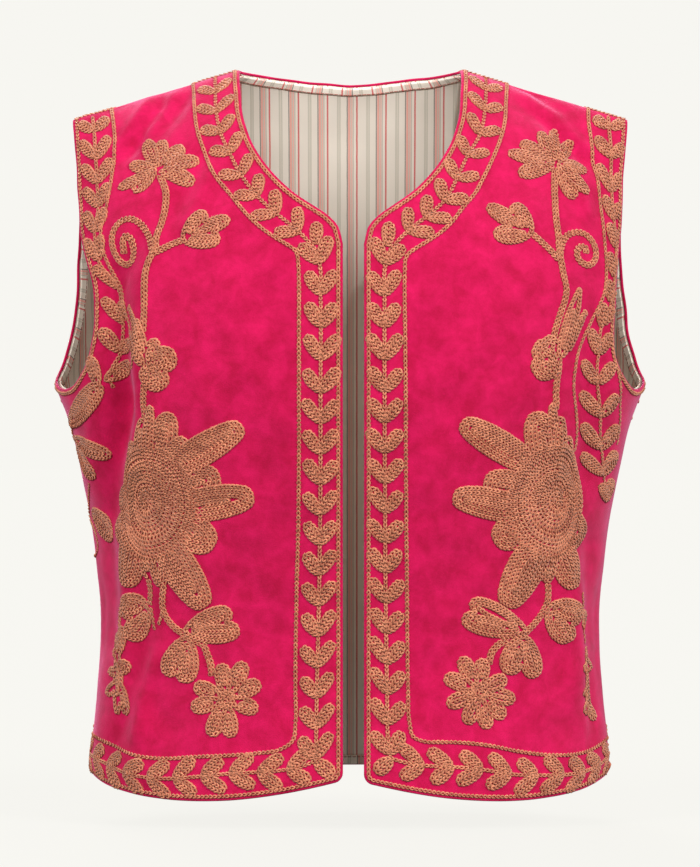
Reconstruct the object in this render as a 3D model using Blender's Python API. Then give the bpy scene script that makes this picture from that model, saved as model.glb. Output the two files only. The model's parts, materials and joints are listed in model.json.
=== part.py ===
"""An embroidered waistcoat, sleeveless and open down the front, in the form it has when filled out.

Two velvet fronts meet a velvet back at the side and shoulder seams. Each has a striped cotton lining,
and narrow strips face the inside of the back neck, the armholes and the hem.

Metres, +Z up, front towards -Y. The origin is midway between the two neck points, on the line of the
shoulder seams, where the waistcoat is held. Left and right are the wearer's: the left front is at +X.

A panel is drawn flat in two numbers. p goes round the body, from 0 at the centre line to 1 at the side
seam. w goes up it, from 0 at the hem through 1 at chest level to 2 at the shoulder seam. place() puts
such a point in space, and every layer of a panel is made from the same points, moved in.
"""

import math
from typing import NamedTuple

import bmesh
import bpy
import numpy as np
from mathutils.geometry import delaunay_2d_cdt

FRONT, BACK = -1, 1
RIGHT, LEFT = -1, 1

# Driving dimensions, in metres. Heights are measured up from the hem at the side seam.
CHEST_HEIGHT = 0.275
NECK_POINT_HEIGHT = 0.5026
NECK_POINT_REACH = 0.0795  # from the centre line
SHOULDER_REACH = 0.1997
SHOULDER_SLOPE = 0.30  # fall for each metre outwards
BACK_NECK_HEIGHT = 0.495
BACK_NECK_CURVE = 1.5
V_HEIGHT = 0.3766  # where the front edges part into the neckline
FRONT_GAP = 0.0146
GAP_CENTRE = 0.0024  # the fronts hang a little to the left
HEM_DIP = 0.017
BACK_HEM_DIP = 0.005
UNDERARM_FLARE = 0.0085
UNDERARM_FLARE_HEIGHT = 0.2815
UNDERARM_FLARE_SPREAD = 0.017

VELVET_WALL = 0.0020
LINING_WALL = 0.0010
FACING_WALL = 0.0010
LAYER_GAP = 0.0003
FACING_GAP = 0.0006
SEAM_GAP = 0.0003
FACING_WIDTH = 0.007

# How square a level section is: 2 is an ellipse, and more fills its corners.
SECTION_POWER = 2.2
# The share of the depth that rounds the shoulder. The rest slopes down to the chest.
SHOULDER_ROUND = {FRONT: 0.45, BACK: 0.70}

ACROSS = 0.236  # length of cloth for one unit of p
UP = 0.260  # length of cloth for one unit of w
FOLD_FADE = 0.022  # folds die out this far from a seam


class Section(NamedTuple):
    height: float
    half_width: float
    front_depth: float
    back_depth: float


SECTIONS = (
    Section(0.000, 0.1870, 0.0980, 0.0970),
    Section(0.045, 0.1830, 0.0955, 0.0920),
    Section(0.088, 0.1800, 0.0950, 0.0880),
    Section(0.117, 0.1800, 0.0965, 0.0870),
    Section(0.145, 0.1825, 0.1000, 0.0890),
    Section(0.174, 0.1860, 0.1040, 0.0920),
    Section(0.203, 0.1913, 0.1085, 0.0955),
    Section(0.232, 0.1972, 0.1120, 0.0980),
    Section(0.258, 0.2022, 0.1145, 0.0995),
    Section(0.275, 0.2045, 0.1150, 0.1000),
)


class Yoke(NamedTuple):
    rise: float  # 0 at chest level, 1 on the shoulder seam
    half_width: float


YOKE = (
    Yoke(0.00, 0.2045),
    Yoke(0.20, 0.2080),
    Yoke(0.45, 0.2095),
    Yoke(0.75, 0.2105),
    Yoke(1.00, 0.2160),
)


class NeckPoint(NamedTuple):
    height: float
    reach: float


NECKLINE = (
    NeckPoint(V_HEIGHT, 0.0080),
    NeckPoint(0.3858, 0.0105),
    NeckPoint(0.3928, 0.0166),
    NeckPoint(0.4007, 0.0278),
    NeckPoint(0.4130, 0.0445),
    NeckPoint(0.4269, 0.0577),
    NeckPoint(0.4453, 0.0696),
    NeckPoint(0.4610, 0.0753),
    NeckPoint(0.4865, 0.0788),
    NeckPoint(NECK_POINT_HEIGHT, NECK_POINT_REACH),
)


class ArmholePoint(NamedTuple):
    height: float
    right_reach: float
    left_reach: float


SHOULDER_TIP_HEIGHT = NECK_POINT_HEIGHT - SHOULDER_SLOPE * (SHOULDER_REACH - NECK_POINT_REACH)
UNDERARM = ArmholePoint(0.2780, 0.2130, 0.2130)
SHOULDER_TIP = ArmholePoint(SHOULDER_TIP_HEIGHT, SHOULDER_REACH, SHOULDER_REACH)

FRONT_ARMHOLE = (
    UNDERARM,
    ArmholePoint(0.2735, 0.2085, 0.2095),
    ArmholePoint(0.2725, 0.2030, 0.2040),
    ArmholePoint(0.2765, 0.1955, 0.1985),
    ArmholePoint(0.2859, 0.1898, 0.1925),
    ArmholePoint(0.2985, 0.1849, 0.1890),
    ArmholePoint(0.3120, 0.1822, 0.1879),
    ArmholePoint(0.3310, 0.1820, 0.1885),
    ArmholePoint(0.3487, 0.1840, 0.1894),
    ArmholePoint(0.3710, 0.1893, 0.1915),
    ArmholePoint(0.3910, 0.1933, 0.1940),
    ArmholePoint(0.4130, 0.1947, 0.1953),
    ArmholePoint(0.4432, 0.1973, 0.1975),
    SHOULDER_TIP,
)
BACK_ARMHOLE = (
    UNDERARM,
    ArmholePoint(0.2797, 0.2128, 0.2128),
    ArmholePoint(0.2838, 0.2112, 0.2112),
    ArmholePoint(0.2905, 0.2087, 0.2087),
    ArmholePoint(0.3015, 0.2057, 0.2057),
    ArmholePoint(0.3170, 0.2027, 0.2027),
    ArmholePoint(0.3350, 0.2005, 0.2005),
    ArmholePoint(0.3550, 0.1988, 0.1988),
    ArmholePoint(0.3760, 0.1977, 0.1977),
    ArmholePoint(0.4000, 0.1974, 0.1974),
    ArmholePoint(0.4350, 0.1984, 0.1984),
    SHOULDER_TIP,
)


class Fold(NamedTuple):
    face: int
    x: float
    height: float
    end_x: float
    end_height: float
    width: float
    rise: float  # ridges rise, hollows fall


FOLDS = (
    Fold(FRONT, -0.168, 0.345, -0.160, 0.262, 0.012, -0.0070),
    Fold(FRONT, -0.160, 0.262, -0.172, 0.190, 0.012, -0.0065),
    Fold(FRONT, -0.148, 0.300, -0.149, 0.215, 0.011, 0.0030),
    Fold(FRONT, -0.172, 0.155, -0.172, 0.095, 0.010, -0.0055),
    Fold(FRONT, -0.161, 0.160, -0.160, 0.090, 0.009, 0.0030),
    Fold(FRONT, -0.146, 0.128, -0.141, 0.052, 0.009, -0.0030),
    Fold(FRONT, -0.139, 0.082, -0.152, 0.012, 0.010, 0.0032),
    Fold(FRONT, -0.166, 0.441, -0.128, 0.476, 0.010, -0.0032),
    Fold(FRONT, 0.171, 0.160, 0.173, 0.050, 0.010, -0.0045),
    Fold(FRONT, 0.159, 0.150, 0.161, 0.055, 0.010, 0.0030),
    Fold(FRONT, 0.171, 0.310, 0.168, 0.215, 0.012, -0.0040),
    Fold(FRONT, 0.166, 0.441, 0.130, 0.475, 0.010, -0.0032),
    Fold(BACK, -0.092, 0.330, -0.078, 0.070, 0.018, -0.0045),
    Fold(BACK, 0.098, 0.310, 0.086, 0.040, 0.018, -0.0042),
    Fold(BACK, -0.040, 0.200, -0.030, 0.010, 0.015, 0.0030),
    Fold(BACK, 0.030, 0.170, 0.036, 0.020, 0.015, 0.0026),
    Fold(BACK, -0.168, 0.310, -0.120, 0.405, 0.014, -0.0035),
    Fold(BACK, 0.166, 0.320, 0.124, 0.400, 0.014, -0.0035),
    Fold(BACK, -0.160, 0.190, -0.166, 0.040, 0.013, -0.0040),
    Fold(BACK, 0.162, 0.180, 0.164, 0.060, 0.013, -0.0036),
)

# Where the points inside a panel stand: closer together towards the side, where the folds are.
FRONT_COLUMNS = (0.13, 0.22, 0.31, 0.40, 0.49, 0.57, 0.64, 0.70, 0.76, 0.81, 0.86, 0.91, 0.955)
BACK_COLUMNS = (0.0, 0.10, 0.20, 0.30, 0.40, 0.50, 0.60, 0.69, 0.77, 0.84, 0.90, 0.955)
ROWS = (
    *(0.075 * step for step in range(1, 14)),
    1.05, 1.12, 1.19, 1.26, 1.34, 1.43, 1.53, 1.63, 1.73, 1.82, 1.91,
)
CLEARANCE = 0.0065  # an inner point stays this far from the panel's edge and strip

STEPS = {"hem": 13, "side": 14, "armhole": 20, "shoulder": 9, "neck": 14, "edge": 18, "back neck": 12}
PLACING_ROUNDS = 30
NUDGE = 1e-4  # step of p or w for a tangent

VELVET_PINK = (0.68, 0.012, 0.075, 1.0)
LINING_ECRU = (0.71, 0.60, 0.49, 1.0)


# --- The form -------------------------------------------------------------------------------------


def smooth(table, column, at):
    """Reads one column of a table as a smooth curve over its first column."""
    knots = np.array([row[0] for row in table])
    values = np.array([row[column] for row in table])
    slopes = np.gradient(values, knots)
    at = np.clip(at, knots[0], knots[-1])
    before = np.clip(np.searchsorted(knots, at, side="right") - 1, 0, len(knots) - 2)
    span = knots[before + 1] - knots[before]
    t = (at - knots[before]) / span
    return (
        (1 + 2 * t) * (1 - t) ** 2 * values[before]
        + t * (1 - t) ** 2 * span * slopes[before]
        + t * t * (3 - 2 * t) * values[before + 1]
        + t * t * (t - 1) * span * slopes[before + 1]
    )


def hem_height(face, p):
    """The fronts dip most between the front edge and the side, and the back at its centre."""
    p = np.abs(p)
    if face == FRONT:
        return -HEM_DIP * np.sin(math.pi * np.clip(p, 0, 1) ** 0.72) ** 1.2
    return -BACK_HEM_DIP * np.cos(p * math.pi / 2) ** 2


def ridge_height(reach):
    """The shoulder seam's height, carried on over the neck as a low dome."""
    reach = np.abs(reach)
    dome = SHOULDER_SLOPE * NECK_POINT_REACH / 2
    over_neck = NECK_POINT_HEIGHT + dome * (1 - (reach / NECK_POINT_REACH) ** 2)
    outside = NECK_POINT_HEIGHT - SHOULDER_SLOPE * (reach - NECK_POINT_REACH)
    return np.where(reach < NECK_POINT_REACH, over_neck, outside)


def flare(p, height):
    """The side stands out round the underarm."""
    near = np.exp(-(((height - UNDERARM_FLARE_HEIGHT) / UNDERARM_FLARE_SPREAD) ** 2) / 2)
    return UNDERARM_FLARE * near * np.abs(p) ** 4


def bare_place(face, side, p, w):
    """A point of the form before it has folds, as an array of x, y, z with z as a height."""
    size = np.clip(np.abs(p), 0, 1)
    round_body = size * math.pi / 2
    out = np.sin(round_body) ** (2 / SECTION_POWER)
    forward = np.cos(round_body) ** (2 / SECTION_POWER)
    hem = hem_height(face, p)
    low_height = hem + np.clip(w, 0, 1) * (CHEST_HEIGHT - hem)
    lean = np.clip(w - 1, 0, 1) * math.pi / 2
    rise = np.sin(lean)
    level = np.cos(lean)
    shrink = level * (SHOULDER_ROUND[face] + (1 - SHOULDER_ROUND[face]) * level)
    depth = smooth(SECTIONS, 2 if face == FRONT else 3, low_height) * shrink
    width = np.where(w <= 1, smooth(SECTIONS, 1, low_height), smooth(YOKE, 1, rise))
    bare_reach = width * out
    high_height = CHEST_HEIGHT + rise * (ridge_height(bare_reach) - CHEST_HEIGHT)
    height = np.where(w <= 1, low_height, high_height)
    reach = bare_reach + flare(p, height)
    return np.stack([side * np.sign(p) * reach, face * depth * forward, height], axis=-1)


def tangents(surface, face, side, p, w):
    """The directions in space in which p and w grow, by central steps that stay on the surface."""
    low_p, high_p = np.maximum(p - NUDGE, -1), np.minimum(p + NUDGE, 1)
    low_w, high_w = np.maximum(w - NUDGE, 0), np.minimum(w + NUDGE, 2)
    along_p = surface(face, side, high_p, w) - surface(face, side, low_p, w)
    along_w = surface(face, side, p, high_w) - surface(face, side, p, low_w)
    return along_p / (high_p - low_p)[..., None], along_w / (high_w - low_w)[..., None]


def normals(surface, face, side, p, w):
    """Unit vectors out of a surface function, level with the seam plane along a seam."""
    out = np.cross(*tangents(surface, face, side, p, w)) * (-face * side)
    on_seam = (np.abs(p) > 1 - NUDGE) | (w > 2 - NUDGE)
    out[..., 1] = np.where(on_seam, 0.0, out[..., 1])
    return out / np.linalg.norm(out, axis=-1, keepdims=True)


def fold_lift(face, x, height):
    """How far the folds raise the cloth: soft across, and tapering at both ends."""
    lift = np.zeros_like(x)
    for fold in (fold for fold in FOLDS if fold.face == face):
        run_x = fold.end_x - fold.x
        run_z = fold.end_height - fold.height
        length = math.hypot(run_x, run_z)
        along = ((x - fold.x) * run_x + (height - fold.height) * run_z) / length**2
        across = ((x - fold.x) * run_z - (height - fold.height) * run_x) / length
        past = np.maximum(np.abs(along - 0.5) - 0.5, 0) * length
        lift += fold.rise * np.exp(-((across / fold.width) ** 2) - (past / (1.6 * fold.width)) ** 2)
    return lift


def folded_place(face, side, p, w):
    """A point of the outer cloth, folds and all."""
    bare = bare_place(face, side, p, w)
    fade = np.clip(np.minimum((1 - np.abs(p)) * ACROSS, (2 - w) * UP) / FOLD_FADE, 0, 1)
    fade = fade * fade * (3 - 2 * fade)
    lift = fold_lift(face, bare[..., 0], bare[..., 2]) * fade
    return bare + normals(bare_place, face, side, p, w) * lift[..., None]


def place(face, side, p, w, depth):
    """Points this deep inside the outer cloth, clear of the seam plane, with the origin at the neck."""
    points = folded_place(face, side, p, w) - depth * normals(folded_place, face, side, p, w)
    points[..., 1] = face * np.maximum(face * points[..., 1], SEAM_GAP / 2)
    points[..., 2] -= NECK_POINT_HEIGHT
    return points


def flat_place(face, reach, height):
    """The p and w of points given by their reach from the centre line and height, by halving."""
    reach, height = np.asarray(reach, float), np.asarray(height, float)
    low, high = np.zeros_like(reach), np.ones_like(reach)
    for _ in range(PLACING_ROUNDS):
        p = (low + high) / 2
        hem = hem_height(face, p)
        bare_reach = reach - flare(p, height)
        rise = np.clip((height - CHEST_HEIGHT) / (ridge_height(bare_reach) - CHEST_HEIGHT), 0, 1)
        low_w = (height - hem) / (CHEST_HEIGHT - hem)
        w = np.where(height < CHEST_HEIGHT, low_w, 1 + np.arcsin(rise) * 2 / math.pi)
        low_width = smooth(SECTIONS, 1, np.minimum(height, CHEST_HEIGHT))
        width = np.where(height < CHEST_HEIGHT, low_width, smooth(YOKE, 1, rise))
        too_far = width * np.sin(p * math.pi / 2) ** (2 / SECTION_POWER) > bare_reach
        low, high = np.where(too_far, low, p), np.where(too_far, p, high)
    return np.stack([p, w], axis=-1)


# --- The pattern pieces ---------------------------------------------------------------------------


def through(points, steps):
    """Evenly spaced points on a smooth curve through a short list of points."""
    points = np.array(points, float)
    chord = np.linalg.norm(np.diff(points, axis=0) * (ACROSS, UP), axis=1)
    run = np.concatenate([[0.0], np.cumsum(chord)])
    table = np.column_stack([run, points])
    at = np.linspace(0, run[-1], steps + 1)
    return np.stack([smooth(table, 1, at), smooth(table, 2, at)], axis=-1)


def straight(start, end, steps, inset_start=0.0, inset_end=0.0):
    """Evenly spaced points on a straight line, with one more a strip's width in from an end."""
    at = np.linspace(0, 1, steps + 1)
    if inset_start > 0:
        at = np.insert(at, 1, inset_start)
    if inset_end > 0:
        at = np.insert(at, -1, 1 - inset_end)
    return np.outer(1 - at, start) + np.outer(at, end)


def front_outline(side):
    """The stretches of a front's edge, in order round it from the bottom of its front edge."""
    reach_column = 2 if side == LEFT else 1
    edge_reach = FRONT_GAP / 2 + side * GAP_CENTRE
    drift = [side * GAP_CENTRE * (NECK_POINT_HEIGHT - row.height) for row in NECKLINE]
    neck_reach = [
        row.reach + move / (NECK_POINT_HEIGHT - V_HEIGHT) for row, move in zip(NECKLINE, drift)
    ]
    neck = flat_place(FRONT, neck_reach, [row.height for row in NECKLINE])
    armhole = flat_place(
        FRONT, [row[reach_column] for row in FRONT_ARMHOLE], [row.height for row in FRONT_ARMHOLE]
    )
    armhole[0][0] = 1.0
    armhole[-1][1] = neck[-1][1] = 2.0
    underarm, tip = armhole[0], armhole[-1]
    heights = np.linspace(0, V_HEIGHT, STEPS["edge"] + 1)
    edge = flat_place(FRONT, np.full_like(heights, edge_reach), heights)
    edge[0][1] = 0.0
    edge[-1] = neck[0]
    strip_up = np.array([FACING_WIDTH / CHEST_HEIGHT * (edge[1] - edge[0])[0] / edge[1][1], 0])
    strip_point = edge[0] + strip_up + (0, FACING_WIDTH / CHEST_HEIGHT)
    return {
        "hem": straight(edge[0], (1.0, 0.0), STEPS["hem"]),
        "side": side_seam(underarm),
        "armhole": through(armhole, STEPS["armhole"]),
        "shoulder": shoulder_seam(tip, neck[-1], False),
        "neck": through(neck[::-1], STEPS["neck"]),
        "edge": np.vstack([edge[:0:-1], strip_point, edge[:1]]),
    }


def side_seam(underarm):
    hem_strip = FACING_WIDTH / CHEST_HEIGHT
    length = underarm[1]
    return straight((1.0, 0.0), underarm, STEPS["side"], hem_strip / length, hem_strip / length)


def shoulder_seam(tip, neck, faced_neck):
    length = SHOULDER_REACH - NECK_POINT_REACH
    strip = FACING_WIDTH / length * 1.04
    return straight(tip, neck, STEPS["shoulder"], strip, strip if faced_neck else 0.0)


def back_outline():
    """The stretches of the back's edge, in order round it from the right end of its hem."""
    armhole = flat_place(
        BACK, [row.left_reach for row in BACK_ARMHOLE], [row.height for row in BACK_ARMHOLE]
    )
    armhole[0][0] = 1.0
    armhole[-1][1] = 2.0
    reaches = np.linspace(0, 1, STEPS["back neck"] // 2 + 1) * NECK_POINT_REACH
    rise = NECK_POINT_HEIGHT - BACK_NECK_HEIGHT
    heights = BACK_NECK_HEIGHT + rise * (reaches / NECK_POINT_REACH) ** BACK_NECK_CURVE
    neck = flat_place(BACK, reaches, heights)
    neck[0][0] = 0.0
    neck[-1][1] = 2.0
    mirror = np.array([-1, 1])
    left_armhole = through(armhole, STEPS["armhole"])
    left_side = side_seam(armhole[0])
    left_shoulder = shoulder_seam(armhole[-1], neck[-1], True)
    return {
        "hem": straight((-1.0, 0.0), (1.0, 0.0), 2 * STEPS["hem"]),
        "side": left_side,
        "armhole": left_armhole,
        "shoulder": left_shoulder,
        "neck": np.vstack([neck[:0:-1], neck * mirror]),
        "right shoulder": left_shoulder[::-1] * mirror,
        "right armhole": left_armhole[::-1] * mirror,
        "right side": left_side[::-1] * mirror,
    }


def strip_inside(face, stretch, start, end):
    """The inner edge of a facing strip, a strip's width in from a stretch of a panel's edge."""
    steps = np.gradient(stretch, axis=0)
    along_p, along_w = tangents(bare_place, face, LEFT, stretch[:, 0], stretch[:, 1])
    inside = []
    for index in range(len(stretch)):
        basis = np.stack([along_p[index], along_w[index]], axis=1)
        edge_way = basis @ steps[index]
        out = np.cross(along_p[index], along_w[index])
        inward = np.cross(out, edge_way)
        inward *= FACING_WIDTH / np.linalg.norm(inward)
        inside.append(stretch[index] + np.linalg.lstsq(basis, inward, rcond=None)[0])
    inside[0], inside[-1] = start, end
    return np.array(inside)


def flat_mesh(outline, strips, columns):
    """Fills a panel's outline with points in rows and columns, and joins them into triangles."""
    edge = np.vstack([stretch[:-1] for stretch in outline.values()])
    inner = np.vstack([strip[1:-1] for strip in strips])
    held = np.vstack([edge, inner]) * (ACROSS, UP)
    lattice = np.array([(p, w) for w in ROWS for p in columns]) * (ACROSS, UP)
    near = np.linalg.norm(lattice[:, None] - held[None], axis=-1).min(axis=1)
    lattice = lattice[(near > CLEARANCE) & inside_polygon(lattice, edge * (ACROSS, UP))]
    points = np.vstack([held, lattice])
    outline_face = [list(range(len(edge)))]
    found = delaunay_2d_cdt([tuple(point) for point in points], [], outline_face, 1, 1e-9)
    return np.array([tuple(v) for v in found[0]]) / (ACROSS, UP), found[2]


def inside_polygon(points, polygon):
    """Which points have an odd number of the polygon's sides to their right."""
    start, end = polygon, np.roll(polygon, -1, axis=0)
    x, y = points[:, None, 0], points[:, None, 1]
    crosses = (start[:, 1] > y) != (end[:, 1] > y)
    rise = np.where(end[:, 1] == start[:, 1], 1, end[:, 1] - start[:, 1])
    at = start[:, 0] + (y - start[:, 1]) * (end[:, 0] - start[:, 0]) / rise
    return (crosses & (x < at)).sum(axis=1) % 2 == 1


# --- The solids -----------------------------------------------------------------------------------


def add_wall(name, outer, inner, triangles, material):
    """A closed solid between two copies of the same triangles, with a rim round their edge."""
    made = bmesh.new()
    near = [made.verts.new(point) for point in outer]
    far = [made.verts.new(point) for point in inner]
    used = {}
    for triangle in triangles:
        made.faces.new([near[i] for i in triangle])
        made.faces.new([far[i] for i in reversed(triangle)])
        for start, end in zip(triangle, (*triangle[1:], triangle[0])):
            used[(start, end)] = used.get((start, end), 0) + 1
    for start, end in used:
        if (end, start) not in used:
            made.faces.new([near[end], near[start], far[start], far[end]])
    bmesh.ops.recalc_face_normals(made, faces=made.faces)
    mesh = bpy.data.meshes.new(name)
    made.to_mesh(mesh)
    made.free()
    mesh.shade_smooth()
    mesh.set_sharp_from_angle(angle=math.radians(50))
    mesh.materials.append(material)
    bpy.context.scene.collection.objects.link(bpy.data.objects.new(name, mesh))


def add_material(name, colour, roughness):
    material = bpy.data.materials.new(name)
    material.use_nodes = True
    shader = material.node_tree.nodes["Principled BSDF"]
    shader.inputs["Base Color"].default_value = colour
    shader.inputs["Roughness"].default_value = roughness
    shader.inputs["Metallic"].default_value = 0.0
    return material


def add_panel(name, face, side, flat, triangles):
    """One velvet panel with its lining inside it."""
    p, w = flat[:, 0], flat[:, 1]
    lining_depth = VELVET_WALL + LAYER_GAP
    add_wall(
        name,
        place(face, side, p, w, 0.0),
        place(face, side, p, w, VELVET_WALL),
        triangles,
        add_material(f"{name}_velvet", VELVET_PINK, 0.85),
    )
    add_wall(
        f"lining_{name}",
        place(face, side, p, w, lining_depth),
        place(face, side, p, w, lining_depth + LINING_WALL),
        triangles,
        add_material(f"lining_{name}_cotton", LINING_ECRU, 0.90),
    )


def add_facing(name, runs):
    """A narrow strip inside the lining. Each run gives a face, a side, and the strip's two edges."""
    depth = VELVET_WALL + LAYER_GAP + LINING_WALL + FACING_GAP
    layers = []
    for layer_depth in (depth, depth + FACING_WALL):
        rails = []
        for rail in (0, 1):
            pieces = [
                place(face, side, *edges[rail].T, layer_depth) for face, side, edges in runs
            ]
            rails.append(join_at_seams(pieces))
        layers.append(np.vstack(rails))
    count = len(layers[0]) // 2
    triangles = []
    for step in range(count - 1):
        triangles.append((step, step + 1, count + step))
        triangles.append((step + 1, count + step + 1, count + step))
    material = add_material(f"{name}_cotton", LINING_ECRU, 0.90)
    add_wall(name, layers[0], layers[1], triangles, material)


def join_at_seams(pieces):
    """One line of points from several, which share one point where two of them meet at a seam."""
    line = pieces[0]
    for piece in pieces[1:]:
        line = np.vstack([line[:-1], (line[-1:] + piece[:1]) / 2, piece[1:]])
    return line


def main():
    for thing in list(bpy.data.objects):
        bpy.data.objects.remove(thing, do_unlink=True)

    back = back_outline()
    strip = {
        "back neck": strip_inside(BACK, back["neck"], back["shoulder"][-2], back["right shoulder"][1]),
        "back armhole": strip_inside(BACK, back["armhole"], back["side"][-2], back["shoulder"][1]),
        "back hem": strip_inside(BACK, back["hem"], back["right side"][-2], back["side"][1]),
    }
    mirrored = strip["back armhole"][::-1] * (-1, 1)
    flat, triangles = flat_mesh(
        back, [*strip.values(), mirrored], [-p for p in BACK_COLUMNS[:0:-1]] + list(BACK_COLUMNS)
    )
    add_panel("back", BACK, LEFT, flat, triangles)
    add_facing("neck_facing", [(BACK, LEFT, (back["neck"], strip["back neck"]))])

    hem_runs = [(BACK, LEFT, (back["hem"], strip["back hem"]))]
    for side, word in ((RIGHT, "right"), (LEFT, "left")):
        front = front_outline(side)
        armhole = strip_inside(FRONT, front["armhole"], front["side"][-2], front["shoulder"][1])
        hem = strip_inside(FRONT, front["hem"], front["edge"][-2], front["side"][1])
        flat, triangles = flat_mesh(front, [armhole, hem], FRONT_COLUMNS)
        add_panel(f"front_{word}", FRONT, side, flat, triangles)
        behind = (back["armhole"][::-1], strip["back armhole"][::-1])
        add_facing(
            f"armhole_facing_{word}",
            [(FRONT, side, (front["armhole"], armhole)), (BACK, side, behind)],
        )
        if side == RIGHT:
            hem_runs.insert(0, (FRONT, side, (front["hem"], hem)))
        else:
            hem_runs.append((FRONT, side, (front["hem"][::-1], hem[::-1])))
    add_facing("hem_facing", hem_runs)


if __name__ == "__main__":
    main()
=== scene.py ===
"""The finished look of the embroidered waistcoat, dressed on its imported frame.

The velvet, the striped lining and the facings are thin shells on the frame's own form, with finer folds
and rolled edges. The embroidery is rows of chain stitch. Each row is worked out flat on its panel, in
metres of cloth, and laid back on the worn form as one loop of yarn after another.

Metres, +Z up, front towards -Y. Left and right are the wearer's: the left front is at +X. A panel is
drawn flat in two numbers: p goes round the body, from 0 at the centre line to 1 at the side seam, and w
goes up it, from 0 at the hem through 1 at chest level to 2 at the shoulder seam. Heights in the tables
are above the hem at the side seam.
"""

import functools
import json
import math
from typing import NamedTuple

import bmesh
import bpy
import numpy as np
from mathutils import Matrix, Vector
from mathutils.geometry import delaunay_2d_cdt

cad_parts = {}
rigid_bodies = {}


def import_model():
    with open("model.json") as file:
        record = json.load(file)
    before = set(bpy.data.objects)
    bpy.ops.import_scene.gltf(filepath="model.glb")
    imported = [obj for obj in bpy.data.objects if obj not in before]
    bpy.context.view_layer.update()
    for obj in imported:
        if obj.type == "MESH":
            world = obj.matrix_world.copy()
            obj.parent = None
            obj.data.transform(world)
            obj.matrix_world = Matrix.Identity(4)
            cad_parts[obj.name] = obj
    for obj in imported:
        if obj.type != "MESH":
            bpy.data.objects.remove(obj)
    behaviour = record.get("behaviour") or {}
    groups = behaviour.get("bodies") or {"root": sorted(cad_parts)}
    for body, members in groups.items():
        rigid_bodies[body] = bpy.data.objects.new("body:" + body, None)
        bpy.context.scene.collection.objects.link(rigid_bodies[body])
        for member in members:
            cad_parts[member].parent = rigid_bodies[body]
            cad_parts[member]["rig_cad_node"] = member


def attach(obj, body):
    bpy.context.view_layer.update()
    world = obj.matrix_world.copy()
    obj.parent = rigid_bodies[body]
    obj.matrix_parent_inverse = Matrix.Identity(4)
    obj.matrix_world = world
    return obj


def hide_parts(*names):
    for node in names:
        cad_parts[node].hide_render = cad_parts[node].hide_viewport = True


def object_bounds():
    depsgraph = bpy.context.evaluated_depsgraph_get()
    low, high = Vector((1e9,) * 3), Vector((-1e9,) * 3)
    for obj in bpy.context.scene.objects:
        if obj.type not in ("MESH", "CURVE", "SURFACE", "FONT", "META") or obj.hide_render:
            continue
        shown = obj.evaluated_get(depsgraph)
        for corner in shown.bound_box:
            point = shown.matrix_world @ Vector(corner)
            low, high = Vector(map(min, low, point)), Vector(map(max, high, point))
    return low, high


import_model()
frame_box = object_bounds()

bl_info = {
    "name": "Embroidered Waistcoat",
    "version": (1, 0, 0),
    "blender": (4, 5, 0),
    "location": "3D View > Sidebar > Waistcoat",
    "description": "Makes an embroidered velvet waistcoat with a striped cotton lining",
    "category": "Add Mesh",
}

MM = 0.001
FRONT, BACK = -1, 1
RIGHT, LEFT = -1, 1

# --- The form, as the frame's solids have it ---

CHEST_HEIGHT = 0.275
NECK_POINT_HEIGHT = 0.5026
NECK_POINT_REACH = 0.0795
SHOULDER_REACH = 0.1997
SHOULDER_SLOPE = 0.30
BACK_NECK_HEIGHT = 0.495
BACK_NECK_CURVE = 1.5
V_HEIGHT = 0.3766
FRONT_GAP = 0.0146
GAP_CENTRE = 0.0024
HEM_DIP = 0.017
HEM_DIP_LEAN = 0.72
HEM_DIP_CURVE = 1.2
BACK_HEM_DIP = 0.005
UNDERARM_FLARE = 0.0085
UNDERARM_FLARE_HEIGHT = 0.2815
UNDERARM_FLARE_SPREAD = 0.017
SEAM_GAP = 0.00004
SECTION_POWER = 2.2
SHOULDER_ROUND = {FRONT: 0.45, BACK: 0.70}
ACROSS = 0.236  # length of cloth for one unit of p
UP = 0.260  # length of cloth for one unit of w
FOLD_FADE = 0.022
FOLD_TAPER = 1.6  # a fold dies out over this many of its widths
PLACING_ROUNDS = 30
NUDGE = 1e-4


def in_metres(kind, *rows):
    """A table from rows given in millimetres."""
    return tuple(kind(*(round(value * MM, 7) for value in row)) for row in rows)


class Section(NamedTuple):
    height: float
    half_width: float
    front_depth: float
    back_depth: float


SECTIONS = in_metres(
    Section,
    (0, 187, 98, 97),
    (45, 183, 95.5, 92),
    (88, 180, 95, 88),
    (117, 180, 96.5, 87),
    (145, 182.5, 100, 89),
    (174, 186, 104, 92),
    (203, 191.3, 108.5, 95.5),
    (232, 197.2, 112, 98),
    (258, 202.2, 114.5, 99.5),
    (275, 204.5, 115, 100),
)


class Yoke(NamedTuple):
    rise: float
    half_width: float


YOKE = (
    Yoke(0.00, 0.2045),
    Yoke(0.20, 0.2080),
    Yoke(0.45, 0.2095),
    Yoke(0.75, 0.2105),
    Yoke(1.00, 0.2160),
)


class NeckPoint(NamedTuple):
    height: float
    reach: float


NECKLINE = (
    NeckPoint(V_HEIGHT, 0.0080),
    *in_metres(
        NeckPoint,
        (385.8, 10.5),
        (392.8, 16.6),
        (400.7, 27.8),
        (413, 44.5),
        (426.9, 57.7),
        (445.3, 69.6),
        (461, 75.3),
        (486.5, 78.8),
    ),
    NeckPoint(NECK_POINT_HEIGHT, NECK_POINT_REACH),
)


class ArmholePoint(NamedTuple):
    height: float
    right_reach: float
    left_reach: float


SHOULDER_TIP_HEIGHT = NECK_POINT_HEIGHT - SHOULDER_SLOPE * (SHOULDER_REACH - NECK_POINT_REACH)
UNDERARM = ArmholePoint(0.2780, 0.2130, 0.2130)
SHOULDER_TIP = ArmholePoint(SHOULDER_TIP_HEIGHT, SHOULDER_REACH, SHOULDER_REACH)

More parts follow.
